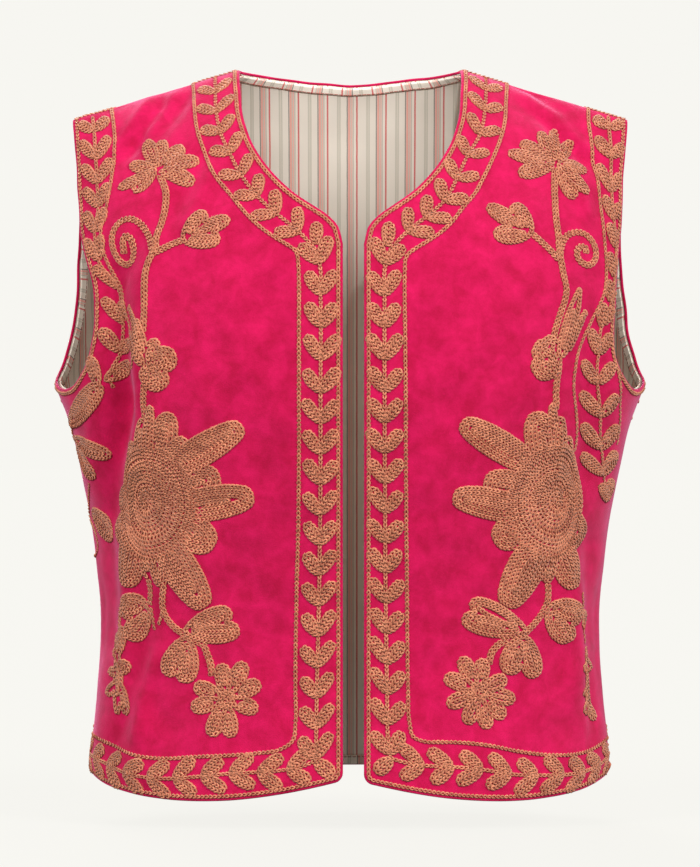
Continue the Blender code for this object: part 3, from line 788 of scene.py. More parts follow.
RIGHT_DRAWING = Drawing(
    shapes=(
        # fan flower
        *apart(
            petal, (136.2, 428.2), (164.1, 414.2, 6.9), (153.2, 411.9, 9), (156.8, 431.3, 8.3),
            (145.4, 450.2, 10.5), (132.6, 449.7, 9.4), (117.6, 444, 10.5), (107, 435.1, 9),
            (109.9, 418.4, 10.5),
        ),
        # bud
        grown(petal, (118, 376), (84.2, 391.7, 10.5), (100.8, 396.2, 10.5), (90.8, 377.5, 12, 0.6)),
        # blades
        (blade((143.4, 288), (160.3, 315.6), 7.3),),
        (blade((143.5, 296.4), (159.7, 335.1), 7),),
        (blade((143.1, 299.2), (150.3, 323.7), 6.3),),
        # round leaf
        (
            lobe((142.3, 289), (135, 307), 9.8),
            lobe((144.1, 289.4), (120.7, 294.5), 17.5),
            lobe((142.6, 288.7), (129.9, 271.9), 16.8),
        ),
        # two-lobed leaf by the hem
        grown(petal, (116.9, 101.4), (82.5, 116.6, 14.4, -0.4), (76.9, 103.2, 15.4, 0.4)),
        # two-lobed leaf hanging
        grown(petal, (114.4, 98.6), (128.7, 70.2, 13.9, 0.4), (115.1, 65.6, 15.9, -0.4)),
        # two-lobed leaf at the side
        grown(petal, (143.3, 118.9), (162.6, 118.2, 17.5), (154.8, 94.2, 14)),
        # hanging cluster
        (
            petal((163.5, 101.4), (165.3, 41.2), 6.3),
            petal((163.6, 80), (167.2, 99.5), 8),
            petal((163.2, 82), (160.4, 104.5), 8.6),
            lobe((164.2, 81.5), (168, 89.3), 7.7),
            petal((163.4, 69), (172.2, 73), 6.6),
            petal((163.4, 67.1), (173, 54.2), 6.8),
            lobe((165.4, 77.1), (156.1, 73.5), 10.5),
            petal((163.9, 65.9), (158.7, 41.3), 7),
        ),
        # under the fan flower
        (lobe((138.5, 423.5), (134, 431.5), 8),),
    ),
    blossom=(143.5, 192),
    blossom_petals=(
        finger((115.9, 227.5), (74.8, 245.8), 20.2),
        finger((106, 186), (67, 197.2), 22.3),
        finger((124.9, 153.4), (101.6, 118.8), 23.8),
        lobe((111.8, 206.9), (90.3, 211.2), 22.3),
        lobe((128, 222), (115, 238), 15),
        lobe((117.6, 176.7), (94.8, 162), 24.5),
        lobe((132.4, 156.8), (132.6, 132.8), 14),
        lobe((142.9, 154.5), (143, 138.2), 9.1),
        lobe((153.8, 161.4), (156.8, 132.2), 17.5),
        lobe((150.1, 194), (168, 194.5), 25),
        lobe((150.2, 172.8), (165.5, 167), 23.8),
        finger((157, 203.1), (153.6, 235.8), 11.5),
        finger((140.8, 229.2), (138.9, 261), 7.7),
        lobe((131, 225.1), (126.2, 255.6), 18),
        lobe((145.5, 222), (145.2, 252), 10),
    ),
    rosette=(86.2, 54.7),
    rosette_tips=path(
        90, 79.7, 73.5, 81.1, 62.5, 66.8, 64.3, 47.6, 83.3, 28.1, 97.7, 28.9, 111.3, 48.2, 109.1, 64.4,
    ),
    double_rows=(
        # main stem
        path(
            136.2, 426.9, 131.4, 416.7, 129.6, 410, 130.3, 400.1, 132.9, 388.6, 135.6, 377.9, 136.3, 369,
            139.5, 363.4, 142.3, 354.4, 143.4, 343.9, 143.7, 334.4, 144.1, 320.3, 144.2, 306.2,
            143.1, 290.8, 143.4, 274.7, 144.3, 262.9, 142.6, 248.8, 140.6, 236.2,
        ),
        # tendril
        path(
            137.2, 366.8, 138.8, 371.5, 140.5, 377.3, 143.9, 383.9, 149, 389.7, 155.7, 392, 162.3, 389.6,
            166.8, 383.6, 168.1, 375.5, 166.6, 368.1, 163.1, 362.3, 159.2, 360.6, 155.2, 362.5,
            153.5, 367.7, 153.7, 374.2, 155.4, 378.9, 158.3, 379.7, 159.9, 376.8, 160.1, 372, 160.2, 367.9,
        ),
        # bud stem
        path(136.3, 367.5, 130.6, 370.5, 124.1, 373.7, 115.1, 376.8),
        # side stem
        path(143.4, 150, 143.2, 143.2, 141.6, 128.7, 142.4, 119.7),
        # lower stem
        path(
            130.2, 136.4, 131.6, 124.6, 131.5, 118.7, 129.5, 112.4, 125.1, 106.4, 119.7, 102.1,
            113.5, 98.7, 108.2, 95.3, 102.9, 92.8, 99.8, 85.8, 97.6, 78.9, 96.7, 70.9,
        ),
        # cluster stem
        path(162.3, 117.1, 163.1, 108.5, 163.5, 98.5),
    ),
    single_rows=(
        # tail
        path(140.8, 118.2, 139.6, 110.6, 138.2, 102.4),
        # short tail
        path(132, 114.8, 133.2, 110.9, 135, 106.1),
    ),
    border_line=path(
        112.9, 492.2, 111.3, 476.8, 109.5, 461.2, 103.2, 440.6, 96.3, 424.5, 83.9, 408.5, 71.6, 393.5,
        62.9, 385.2, 50.9, 376.6, 41.8, 371, 38.4, 368.6, 36.9, 365.6, 36, 359, 35.5, 344.1, 35.4, 305.7,
        35.4, 264, 35.4, 222.4, 35.9, 180.6, 37, 138.6, 37.8, 96.6, 38.1, 61.7, 38, 39.4, 40.1, 26.2,
        49.6, 19.9, 63.6, 17.6, 86, 15.6, 111.5, 14, 128.6, 12.4, 147, 13.3, 162.7, 17.5, 173.5, 21.4,
        184.7, 25.2,
    ),
    front_leaves=(1, 21.99),
    hem_leaves=(20, 20.8),
    front_stem=path(
        24.5, 12.4, 23.7, 23.5, 23.5, 33.9, 23.2, 54.8, 21.6, 124.7, 20.6, 194.6, 20.4, 264, 20.4, 337,
        20.9, 357.4, 23.7, 367.9, 31.4, 377.1, 42.6, 387.5, 54.6, 397.2, 66.1, 408.3, 76.1, 421.8,
        84.8, 438.5, 91.4, 453.1, 95, 469.5, 96.3, 486.5, 96.8, 498,
    ),
    hem_stem=path(
        186, 11.5, 178.1, 8.2, 166.8, 3.8, 152.6, 0, 130, -1.6, 105.1, 0.6, 83.9, 3.1, 64.2, 4.4,
        43.5, 6.5, 30.7, 9.6, 24.5, 12.4,
    ),
    armhole_line=path(
        171.9, 475.9, 169.1, 461.6, 167.7, 444.9, 169.2, 428.2, 170.4, 412.9, 172.8, 399.9, 175.8, 388.1,
        175.8, 374.1, 171.9, 359.2, 166.7, 345.3, 163.2, 331.4, 159.7, 317.2, 155.8, 302.3, 152.6, 297.9,
    ),
    armhole_stem=path(
        184.6, 467.5, 183.2, 457.5, 181.1, 436.3, 179.8, 418.6, 178.8, 401.2, 180.7, 382.9, 178.4, 362.5,
        167.9, 343.7, 165.1, 318.7, 165.6, 306.7, 166.6, 297.7, 170.4, 288.4, 173.3, 278.5,
    ),
    neck_feet=path(
        36.3, 380.3, 51.3, 393.5, 64.8, 406.1, 76.4, 421.1, 85.1, 437.3, 91.4, 453.2, 95, 468.8,
        96.3, 484.1,
    ),
    lone_leaves=(
        petal((24.8, 13.1), (11.5, 2.3), 10.5),
        petal((24.2, 371.5), (23, 388.4), 8.4),
    ),
    armhole_leaves=(
        *grown(petal, (183.2, 457.5), (194.7, 462.7, 7), (173.2, 467.5, 7)),
        *grown(petal, (181.1, 436.3), (193, 449.9, 7.3), (172.1, 453.2, 7.3)),
        *grown(petal, (179.8, 418.6), (190.8, 432.2, 7.3), (170.4, 437.2, 7.3)),
        *grown(petal, (178.8, 401.2), (189.4, 415.2, 7.3), (171.5, 418.7, 7.3)),
        *grown(petal, (180.3, 382.9), (188.4, 398.3, 7), (173.7, 400.7, 7)),
        *grown(petal, (178.8, 362.5), (186.9, 378.8, 6.3), (176.2, 381.3, 6.3)),
        petal((167.3, 343.5), (181.9, 359.4), 6.3),
        *grown(petal, (164.3, 318.7), (176.7, 337.2, 7), (165.5, 335.7, 6.3)),
        *grown(petal, (167.5, 298.2), (176.7, 314.9, 8.4), (157.6, 306.2, 9.1)),
        petal((175, 277.5), (158.3, 291.2), 9.4),
        petal((178, 273.5), (184.5, 295.5), 8),
        leaf((198.6, 245), (177, 277), 15.4),
        petal((196.6, 239), (173.4, 222.8), 9.6),
        petal((194.7, 233.4), (183.2, 207.8), 7.6),
        petal((185.5, 187.5), (173.6, 163.2), 8.6),
    ),
    armhole_tails=(
        path(154.2, 286.2, 152.2, 292.1, 152.6, 297.9),
        path(172.2, 279.2, 170.6, 272.2),
        path(198, 245.4, 197.7, 239, 195.1, 234),
        path(186.2, 205.4, 188, 190.2, 186.4, 178.2, 183.8, 168.7, 182.8, 158.4, 183.8, 148.3),
    ),
)

LEFT_DRAWING = Drawing(
    shapes=(
        # fan flower
        *apart(
            petal, (146.1, 431.8), (111.6, 439.2, 8.8), (120.9, 447.1, 9.7), (134.9, 455.8, 8.8),
            (146.2, 460, 8.4), (158.4, 451.1, 9.4), (168.9, 428.6, 9.7), (168.5, 410.4, 8),
            (158.5, 406.7, 9.7), (118.7, 424.1, 10.5),
        ),
        # bud
        grown(petal, (128, 381), (96.2, 401, 10.5), (114.2, 402, 11.5), (100.4, 380.6, 12.5, 0.6)),
        # blades
        (blade((147.1, 293.7), (162.5, 345.7), 9.8),),
        (blade((148.4, 293.7), (168.1, 330.6), 6.6),),
        # round leaf
        (
            lobe((144.9, 292.9), (128.2, 301.9), 16.8),
            lobe((144.9, 292.2), (127.4, 283), 17.5),
            lobe((144.2, 297.8), (136, 307.9), 11.9),
        ),
        # two-lobed leaf at the side
        grown(petal, (139.2, 119.6), (162.8, 110.2, 17.2, 0.8), (153.8, 93.3, 15.6, -0.4)),
        # two-lobed leaf by the hem
        grown(petal, (124.4, 101.4), (83.9, 123.7, 13.9, -0.4), (78.3, 111.8, 15.9, 0.4)),
        # two-lobed leaf hanging
        grown(petal, (121.9, 99.5), (109.8, 72.1, 16.5, -0.4), (129.5, 68.8, 14.6, 0.4)),
        # hanging cluster
        (
            petal((167.6, 91.6), (173.2, 38.8), 6.3),
            lobe((169.2, 70.8), (165.9, 77.7), 7.7),
            lobe((170.5, 55.1), (166.5, 60), 8.4),
            lobe((168, 80.9), (175.2, 71.6), 7.7),
            petal((170.5, 55.1), (175.6, 36.4), 6.3),
            lobe((171.2, 50.8), (167.7, 40.8), 6.3),
        ),
        # side bud
        (lobe((166.4, 101.7), (169.5, 115.3), 7.7),),
        # under the fan flower
        (lobe((147.5, 427), (145.5, 436), 8),),
    ),
    blossom=(145.5, 193.4),
    blossom_petals=(
        finger((115.2, 231.5), (77.2, 248.6), 19.8),
        finger((108, 183.5), (71.4, 197.2), 20.3),
        finger((127.1, 151.3), (109.2, 119.6), 24.6),
        lobe((113.2, 204.8), (93.3, 207.4), 21.5),
        lobe((121.5, 174.6), (101, 164.6), 23.5),
        lobe((137.8, 158.9), (138.4, 135.5), 11.9),
        lobe((146.8, 156.6), (156, 131.2), 18),
        lobe((149.1, 190.5), (162.8, 191), 26.6),
        lobe((149.4, 172.8), (163.8, 161.8), 22.5),
        lobe((151.5, 213.7), (153.6, 239.2), 10.2),
        lobe((144, 229.2), (147.2, 253), 10),
        finger((141.2, 233.4), (141.2, 262.6), 7.3),
        lobe((134, 225), (129.8, 256), 21.5),
    ),
    rosette=(90.3, 59.9),
    rosette_tips=path(
        77.6, 84.6, 93, 83.3, 109.8, 69.6, 115.8, 53.9, 108.2, 41.3, 96.3, 33.9, 81.4, 37.4, 67.6, 51.3,
        65.9, 71.3,
    ),
    double_rows=(
        # main stem
        path(
            145.1, 427.9, 144.4, 417, 144.6, 405.4, 145.2, 393, 146.6, 380.7, 147.2, 368.4, 148.7, 357.8,
            150.1, 349.3, 151.5, 342.2, 150.7, 334.8, 148.2, 326.5, 144.8, 316.7, 143.1, 308.6, 145.5, 299,
            146, 288.8, 144.7, 279.6, 143.9, 269.8, 143.8, 261.5, 141.8, 250.3, 140.8, 239,
        ),
        # tendril
        path(
            147.3, 367, 148.4, 372, 149.8, 375.8, 153.2, 380.4, 159.1, 382.6, 165.7, 381.1, 170.6, 376.3,
            173.1, 369.8, 172.9, 364.1, 169.6, 359.9, 163.7, 360.6, 160, 364.5, 159.7, 369.5, 162.6, 372.4,
            165.8, 371.3, 166, 367.8,
        ),
        # bud stem
        path(146.7, 362.7, 141.5, 368.3, 134.1, 375.5, 126, 382.4),
        # lower stem
        path(138.9, 137.7, 139.1, 129.2, 138.5, 122.1, 135.4, 115, 129.7, 107.4, 123, 100.9),
        # rosette stem
        path(120.9, 99.6, 114.1, 96.7, 105.2, 93.6, 99.7, 88.1, 97.1, 79.3),
    ),
    single_rows=(
        # side stem
        path(163.6, 128.4, 164.4, 119.5, 166.1, 101.5, 167.6, 89.5),
    ),
    border_line=path(
        112.9, 492.2, 111.7, 479.2, 110.2, 463.8, 106.1, 448.2, 101.7, 437.1, 94, 421.1, 88.2, 410.2,
        79.2, 399.3, 71, 388.6, 63.6, 381.6, 53.7, 374.8, 43.6, 368.1, 40.2, 365.4, 38.7, 362.4, 38.2, 356,
        38, 340.6, 38.3, 305.7, 38.6, 264, 38.8, 222.4, 39.1, 180.6, 39.6, 138.6, 40, 96.6, 40.5, 61.7,
        41.4, 39.4, 44, 29.3, 52.4, 25.7, 62.9, 25.3, 76.9, 24.8, 97.3, 22.3, 117.2, 18, 142.3, 14.3,
        159.1, 14.1, 171.9, 16.3, 184.5, 22.9,
    ),
    front_leaves=(4.2, 21.7),
    hem_leaves=(24, 21.2),
    front_stem=path(
        28.6, 12.4, 26.9, 23.5, 26.2, 33.9, 25.9, 54.8, 24.9, 124.7, 24.3, 194.6, 24, 264, 24, 333.5,
        24.3, 356, 26.5, 365.8, 32.8, 374.3, 43.3, 384.3, 55.9, 394.3, 67.1, 405, 75.4, 420.8, 82.9, 436.8,
        92.2, 453.1, 95.7, 468.8, 97.1, 486.5, 97.6, 498,
    ),
    hem_stem=path(
        186, 11.5, 178.2, 5.4, 169.3, 2.3, 153.3, 0.1, 135.1, 0.5, 115.1, 1.7, 93.2, 5.5, 71.5, 7.9,
        51.9, 9.1, 38.4, 11.3, 27.9, 14.4,
    ),
    armhole_line=path(
        171.3, 475.9, 171, 463.9, 172.5, 451.6, 173.7, 437.2, 175.9, 421.8, 177.4, 406.6, 178.7, 386.8,
        180.1, 374.2, 181, 358.2, 180.5, 343.6, 175.6, 329.3, 169.8, 317.3, 165.3, 308, 160.9, 296.8,
        158.7, 285.5, 158, 276.6, 158.6, 266.9, 160, 256.5, 161.1, 242.8, 160.4, 234.7, 158.6, 227.8,
    ),
    armhole_stem=path(
        185.4, 468.3, 185.6, 459.8, 186.3, 437.5, 186.4, 412.3, 187.1, 391.8, 188.4, 371.8, 187, 350.9,
        185.1, 334.9, 178.6, 315.7, 176.5, 296.2, 176.1, 275.2, 178, 252.1, 179.4, 229.8, 181.2, 210.3,
        182.9, 191.7,
    ),
    neck_feet=path(
        40.4, 380.9, 53.9, 389.7, 66.3, 402.3, 75.6, 418.3, 84.5, 435.7, 92.4, 452.2, 96.1, 470,
        97.1, 485.2,
    ),
    lone_leaves=(
        petal((29.6, 14.4), (17.8, 4.4), 10.5),
        petal((26.2, 370), (27.1, 388.5), 8.7),
    ),
    armhole_leaves=(
        *grown(petal, (185.6, 459.8), (174.5, 467.5, 7), (196.2, 463.6, 7)),
        *grown(petal, (186.3, 437.5), (176, 453.3, 7.3), (195.1, 447, 7.3)),
        *grown(petal, (186.4, 412.3), (177, 433.4, 7), (192.6, 426.4, 6.3)),
        *grown(petal, (187.1, 391.8), (180.9, 410, 6.6), (191.4, 404.6, 5.9)),
        petal((188.6, 371.8), (182.7, 389.9), 6.3),
        petal((187.6, 371.8), (188.2, 386), 4.4),
        *grown(petal, (186.8, 350.9), (183.1, 369.3, 5.9), (188.9, 366, 5.2)),
        *grown(petal, (184.2, 333.4), (182.4, 349.3, 5.9), (187.3, 346.7, 5.2)),
        *grown(petal, (178.6, 315.7), (178.9, 332.9, 7), (186, 330.3, 6.3)),
        petal((176.5, 296.2), (170.9, 314.5), 7.7),
        petal((177.1, 296.2), (185.2, 311.5), 7),
        petal((176.1, 275.2), (165, 292.3), 8.4),
        petal((177.1, 275.2), (186.9, 290.6), 7.4),
        petal((178, 252.1), (164.1, 269.8), 9.1),
        petal((178.6, 252.1), (188.9, 268.6), 7.8),
        petal((179.1, 229.1), (165, 247.3), 9.1),
        petal((180, 229.1), (189.9, 247.1), 7.8),
        petal((181.2, 210.3), (165.7, 226.1), 8.4),
        petal((181.6, 210.3), (188.5, 228.6), 7.6),
        *grown(petal, (182.9, 191.7), (179, 205.3, 6.3), (186.6, 208.7, 6.3)),
    ),
    armhole_tails=(
        path(
            185.8, 306.9, 188, 293.1, 190.2, 280.9, 191.4, 271.6, 191.6, 261, 191.6, 252, 190.8, 240.7,
            190.2, 233,
        ),
    ),
)

# --- The embroidery's rows ---
# A row is a line of points in metres of cloth, x away from the centre line and y up from the hem.

ROW_STEP = 0.0007
OUTLINE_POINTS = 34  # along each side of a petal or a leaf
RING_POINTS = 49
CORE_ROW_POINTS = 13
MIDDLE_POINTS = 24
MIDDLE_TRIM = 0.35  # gaps that a middle row stops short of each end of its loop
SMALLEST_LOOP = 2.5  # gaps round the smallest loop that is sewn
LOOP_ROOM = 1.3  # gaps of room inside a loop that call for another loop
MIDDLE_ROOM = 0.6  # and for a row down the middle
MIDDLE_DEPTH = 0.4  # the share of that room that a middle row keeps to, but for its ends
MIDDLE_ENDS = 20  # percent of a middle row that may lie nearer to its loop
CLOSER_DEPTH = 0.72  # where a small loop goes instead, as a share of the room
ROSETTE_FOOT = 0.12  # how far out from a rosette's middle its petals start
LEAF_LOOK_AHEAD = 0.006  # along the stem, for the way that it runs at a leaf's foot
LEAF_SWAY = 4  # degrees
FIELD_STEP = 0.00055
FEWEST_CROSSINGS = 6  # a closed line that crosses no more grid edges than this isn't sewn
OUTER_LINE_INSET = 0.0033
BACK_STEM_INSET = 0.0165
BACK_INNER_INSET = 0.0300
DOUBLE_ROW_GAP = 0.0024
FILL_GAP = 0.0032  # between the rows that fill a shape
FILL_LINK = (1.28, 1.30, 1.05)  # length, width and thickness, as shares of a line's link
FILL_PITCH = 0.0029
LEAF_ANGLE = 33  # degrees from the stem
FRONT_LEAF = (0.0200, 0.0094)  # length and width
HEM_LEAF = (0.0205, 0.0099)
NECK_LEAF = (0.0182, 0.0090)
NECK_LEAF_ANGLE = 41
FRONT_PAIRS = 17
SHOULDER_LINE_INSET = 0.0020
LEAF_BLUNTNESS = (0.56, 0.36)
BACK_SPACING = 0.0216
BACK_FIRST_LEAF = 0.012
BACK_LAST_LEAF = 0.55  # the share of a leaf that has to fit before the stem's end
HEM_LAST_LEAF = 0.002
LEAF_VARIATION = 0.05
CORE_BANDS = (0.0062, 0.0150, 0.0238, 0.0326, 0.0415)
CORE_OUTER_SHARE = 0.56  # how wide a blossom's heart is on the side away from the centre line
CORE_GROOVE = 0.0007
CORE_BULGE = 0.0028  # how far a row of the core bows sideways
EDGE_ROOM = 0.0016  # no stitch's middle comes nearer than this to a seam or an edge
PETAL_UNDERLAP = 14.0  # millimetres that a blossom's petals start inside its heart
SHAPE_FULLNESS = 1.10  # shapes are drawn to the middle of their outermost row
CORE_LAP = 0.0012  # how far petals run in under a heart
ROSETTE_CORE = 0.0062
ROSETTE_PETAL = {RIGHT: 11.1, LEFT: 10.5}  # millimetres wide
SEED = 41
BACK_DRAWS = 5  # added to the seed for the back's own leaves


def evenly(line, spacing=ROW_STEP):
    """Points at even steps along a line, both ends included."""
    run = run_along(line)
    return read_at(np.linspace(0, run[-1], max(1, round(run[-1] / spacing)) + 1), run, line)


def length_of(line):
    return run_along(line)[-1]


def drawn_line(panel, points):
    """A drawn path on the cloth, as a smooth curve unless it has no point between its ends."""
    points = np.array(points, float)
    return seen_to_cloth(panel, through(points, ROW_STEP / MM, 1.0) if len(points) > 2 else points)


def shape_outline(foot, tip, width, bend, low, high):
    """A closed leaf or petal outline about the line from its foot to its tip."""
    foot, tip = np.array(foot, float), np.array(tip, float)
    axis = tip - foot
    left = np.array([-axis[1], axis[0]]) / np.linalg.norm(axis)
    u = (1 - np.cos(np.linspace(0, math.pi, OUTLINE_POINTS))) / 2
    half = u**low * (1 - u) ** high
    half *= width / 2 / half.max()
    middle = foot + u[:, None] * axis + (4 * bend * u * (1 - u))[:, None] * left
    one = middle + half[:, None] * left
    other = middle - half[:, None] * left
    return np.vstack([one, other[-2:0:-1]])


def edge_distance(points, polygon):
    """How far points are from a closed outline."""
    nearest = np.full(len(points), np.inf)
    for start, end in zip(polygon, np.roll(polygon, -1, axis=0)):
        way = end - start
        share = np.clip((points - start) @ way / max(way @ way, 1e-18), 0, 1)
        nearest = np.minimum(nearest, np.linalg.norm(points - start - share[:, None] * way, axis=1))
    return nearest


def depth_field(outlines):
    """A grid over some outlines, with how deep each grid point is inside the shape that they make."""
    every = np.vstack(outlines)
    low = every.min(axis=0) - 3 * FIELD_STEP
    size = np.ceil((every.max(axis=0) + 3 * FIELD_STEP - low) / FIELD_STEP).astype(int)
    columns, rows = np.arange(size[0]), np.arange(size[1])
    grid_x, grid_y = np.meshgrid(columns, rows)
    points = low + np.column_stack([grid_x.ravel(), grid_y.ravel()]) * FIELD_STEP
    depth = np.full(len(points), -np.inf)
    for outline in outlines:
        sign = np.where(inside_polygon(points, outline), 1, -1)
        depth = np.maximum(depth, sign * edge_distance(points, outline))
    return low, depth.reshape(grid_x.shape)


def level_lines(low, values, level):
    """The closed lines along which a grid's values cross a level, by marching over half squares."""
    high = values > level
    corners_high = high[:-1, :-1].astype(int) + high[1:, :-1] + high[:-1, 1:] + high[1:, 1:]
    links = {}
    for row, column in np.argwhere((corners_high > 0) & (corners_high < 4)).tolist():
        first, opposite = (row, column), (row + 1, column + 1)
        for third in ((row, column + 1), (row + 1, column)):
            pairs = [tuple(sorted(pair)) for pair in ((first, opposite), (first, third), (third, opposite))]
            cut = [pair for pair in pairs if high[pair[0]] != high[pair[1]]]
            if cut:
                links.setdefault(cut[0], []).append(cut[1])
                links.setdefault(cut[1], []).append(cut[0])
    lines = []
    while links:
        edge = next(iter(links))
        line = []
        while edge is not None:
            start, end = edge
            share = (level - values[start]) / (values[end] - values[start])
            row = start[0] + share * (end[0] - start[0])
            column = start[1] + share * (end[1] - start[1])
            line.append(low + np.array([column, row]) * FIELD_STEP)
            edge = next((other for other in links.pop(edge) if other in links), None)
        if len(line) > FEWEST_CROSSINGS:
            lines.append(rounded(np.array(line)))
    return lines


def rounded(line):
    """A closed line with the grid's small steps taken out, and its start repeated at its end."""
    for _ in range(2):
        line = (np.roll(line, 1, axis=0) + 2 * line + np.roll(line, -1, axis=0)) / 4
    return evenly(np.vstack([line, line[:1]]))


def middle_row(loop):
    """The line half way between the two sides of a narrow loop, short of its ends."""
    loop = loop[:-1]
    centred = loop - loop.mean(axis=0)
    along = centred @ np.linalg.svd(centred, full_matrices=False)[2][0]
    turned = np.roll(loop, -np.argmin(along), axis=0)
    turn = np.argmax(np.roll(along, -np.argmin(along)))
    at = np.linspace(0, 1, MIDDLE_POINTS)
    sides = []
    for side in (turned[: turn + 1], np.vstack([turned[turn:], turned[:1]])[::-1]):
        sides.append(read_at(at, np.linspace(0, 1, len(side)), side))
    line = evenly((sides[0] + sides[1]) / 2)
    trim = round(MIDDLE_TRIM * FILL_GAP / ROW_STEP)
    return line[trim:-trim] if len(line) > 2 * trim + 4 else None


def cells_of(line, low):
    """The grid points nearest to a line's, as columns and rows."""
    return np.round((line - low) / FIELD_STEP).astype(int)


def echo_rows(outlines):
    """Fills a shape with rows that echo its outline, and a last one down its middle where that fits."""
    low, depth = depth_field(outlines)
    rows = []
    level = FILL_GAP / 2
    waiting = level_lines(low, depth, level)
    while waiting:
        level += FILL_GAP
        deeper = []
        for loop in waiting:
            if length_of(loop) < SMALLEST_LOOP * FILL_GAP:
                continue
            rows.append(loop)
            here = level - FILL_GAP
            cells = cells_of(loop, low)
            first, last = cells.min(axis=0), cells.max(axis=0) + 1
            room = depth[first[1] : last[1], first[0] : last[0]].max() - here
            if room > LOOP_ROOM * FILL_GAP:
                deeper.append(loop)
            elif room > MIDDLE_ROOM * FILL_GAP:
                row = middle_row(loop)
                if row is not None:
                    columns, lines = cells_of(row, low).T
                    deep = np.percentile(depth[lines, columns], MIDDLE_ENDS)
                    if deep > here + MIDDLE_DEPTH * room:
                        rows.append(row)
                        continue
                closer = level_lines(low, depth, here + CLOSER_DEPTH * room)
                rows += [line for line in closer if within_any(line, [loop])]
        if not deeper:
            break
        waiting = [line for line in level_lines(low, depth, level) if within_any(line, deeper)]
    return rows


def within_any(line, loops):
    return any(inside_polygon(line[:1], loop[:-1])[0] for loop in loops)


def runs_where(line, keep, shortest):
    """The stretches of a line whose points are kept, leaving out those too short to sew."""
    edges = np.flatnonzero(np.diff(np.concatenate([[False], keep, [False]]).astype(int)))
    runs = [line[start:end] for start, end in edges.reshape(-1, 2)]
    return [run for run in runs if len(run) > 1 and length_of(run) > shortest]


def cut_rows(rows, outline, covers, shortest):
    """Rows with what lies beyond an outline, or under shapes that cover them, taken away."""
    kept = []
    for row in rows:
        line = evenly(row)
        keep = inside_polygon(line, outline)
        for cover in covers:
            low, high = cover.min(axis=0), cover.max(axis=0)
            near = keep & (line > low).all(axis=1) & (line < high).all(axis=1)
            keep[near] = ~inside_polygon(line[near], cover)
        kept += runs_where(line, keep, shortest)
    return kept


def beside(line, distance):
    """A line moved to its left."""
    way = unit(np.gradient(line, axis=0))
    return line + distance * np.stack([-way[:, 1], way[:, 0]], axis=-1)


def around(centre, radius, angle, outer_share):
    """Points about a centre, drawn in on the side away from the centre line."""
    across = np.cos(angle)
    across = np.where(across > 0, outer_share * across, across)
    return centre + np.asarray(radius)[..., None] * np.stack([across, np.sin(angle)], axis=-1)


def ring(centre, radius, outer_share=1.0):
    return around(centre, radius, np.linspace(0, 2 * math.pi, RING_POINTS), outer_share)


def leaf_pairs(stem, leaf, chance, feet, spread=LEAF_ANGLE):
    """A pair of leaves at each of these distances along a stem."""
    run = run_along(stem)
    rows = []
    for at in feet:
        foot, ahead = read_at([at, at + LEAF_LOOK_AHEAD], run, stem)
        heading = math.atan2(*(ahead - foot)[::-1])
        for turn in (-1, 1):
            angle = heading + turn * math.radians(spread + chance.uniform(-LEAF_SWAY, LEAF_SWAY))
            way = np.array([math.cos(angle), math.sin(angle)])
            length, width = np.array(leaf) * (1 + chance.uniform(-LEAF_VARIATION, LEAF_VARIATION, 2))
            outline = shape_outline(foot, foot + length * way, width, 0.0, *LEAF_BLUNTNESS)
            rows += echo_rows([outline])
    return rows


def nearest_runs(stem, points):
    """How far along a stem it passes closest to each of some points."""
    run = run_along(stem)
    return [run[np.argmin(np.linalg.norm(stem - point, axis=1))] for point in points]


def drawn_outlines(panel, shapes):
    fuller = [shape._replace(width=shape.width * SHAPE_FULLNESS) for shape in shapes]
    return [seen_to_cloth(panel, shape_outline(*shape)) for shape in fuller]


def panel_outline(panel, inset):
    """A panel's edge in metres of cloth, moved in all round."""
    loop = edge_loop(panel)
    return to_cloth(panel.face, loop_inside(panel, loop, np.full(len(loop), inset)))


def free_line(panel, names, inset):
    """A line of cloth points this far inside some of a panel's edge stretches, taken in order."""
    line = np.vstack([panel.stretches[name][:-1] for name in names[:-1]] + [panel.stretches[names[-1]]])
    return evenly(to_cloth(panel.face, line_inside(panel.face, line, inset)))


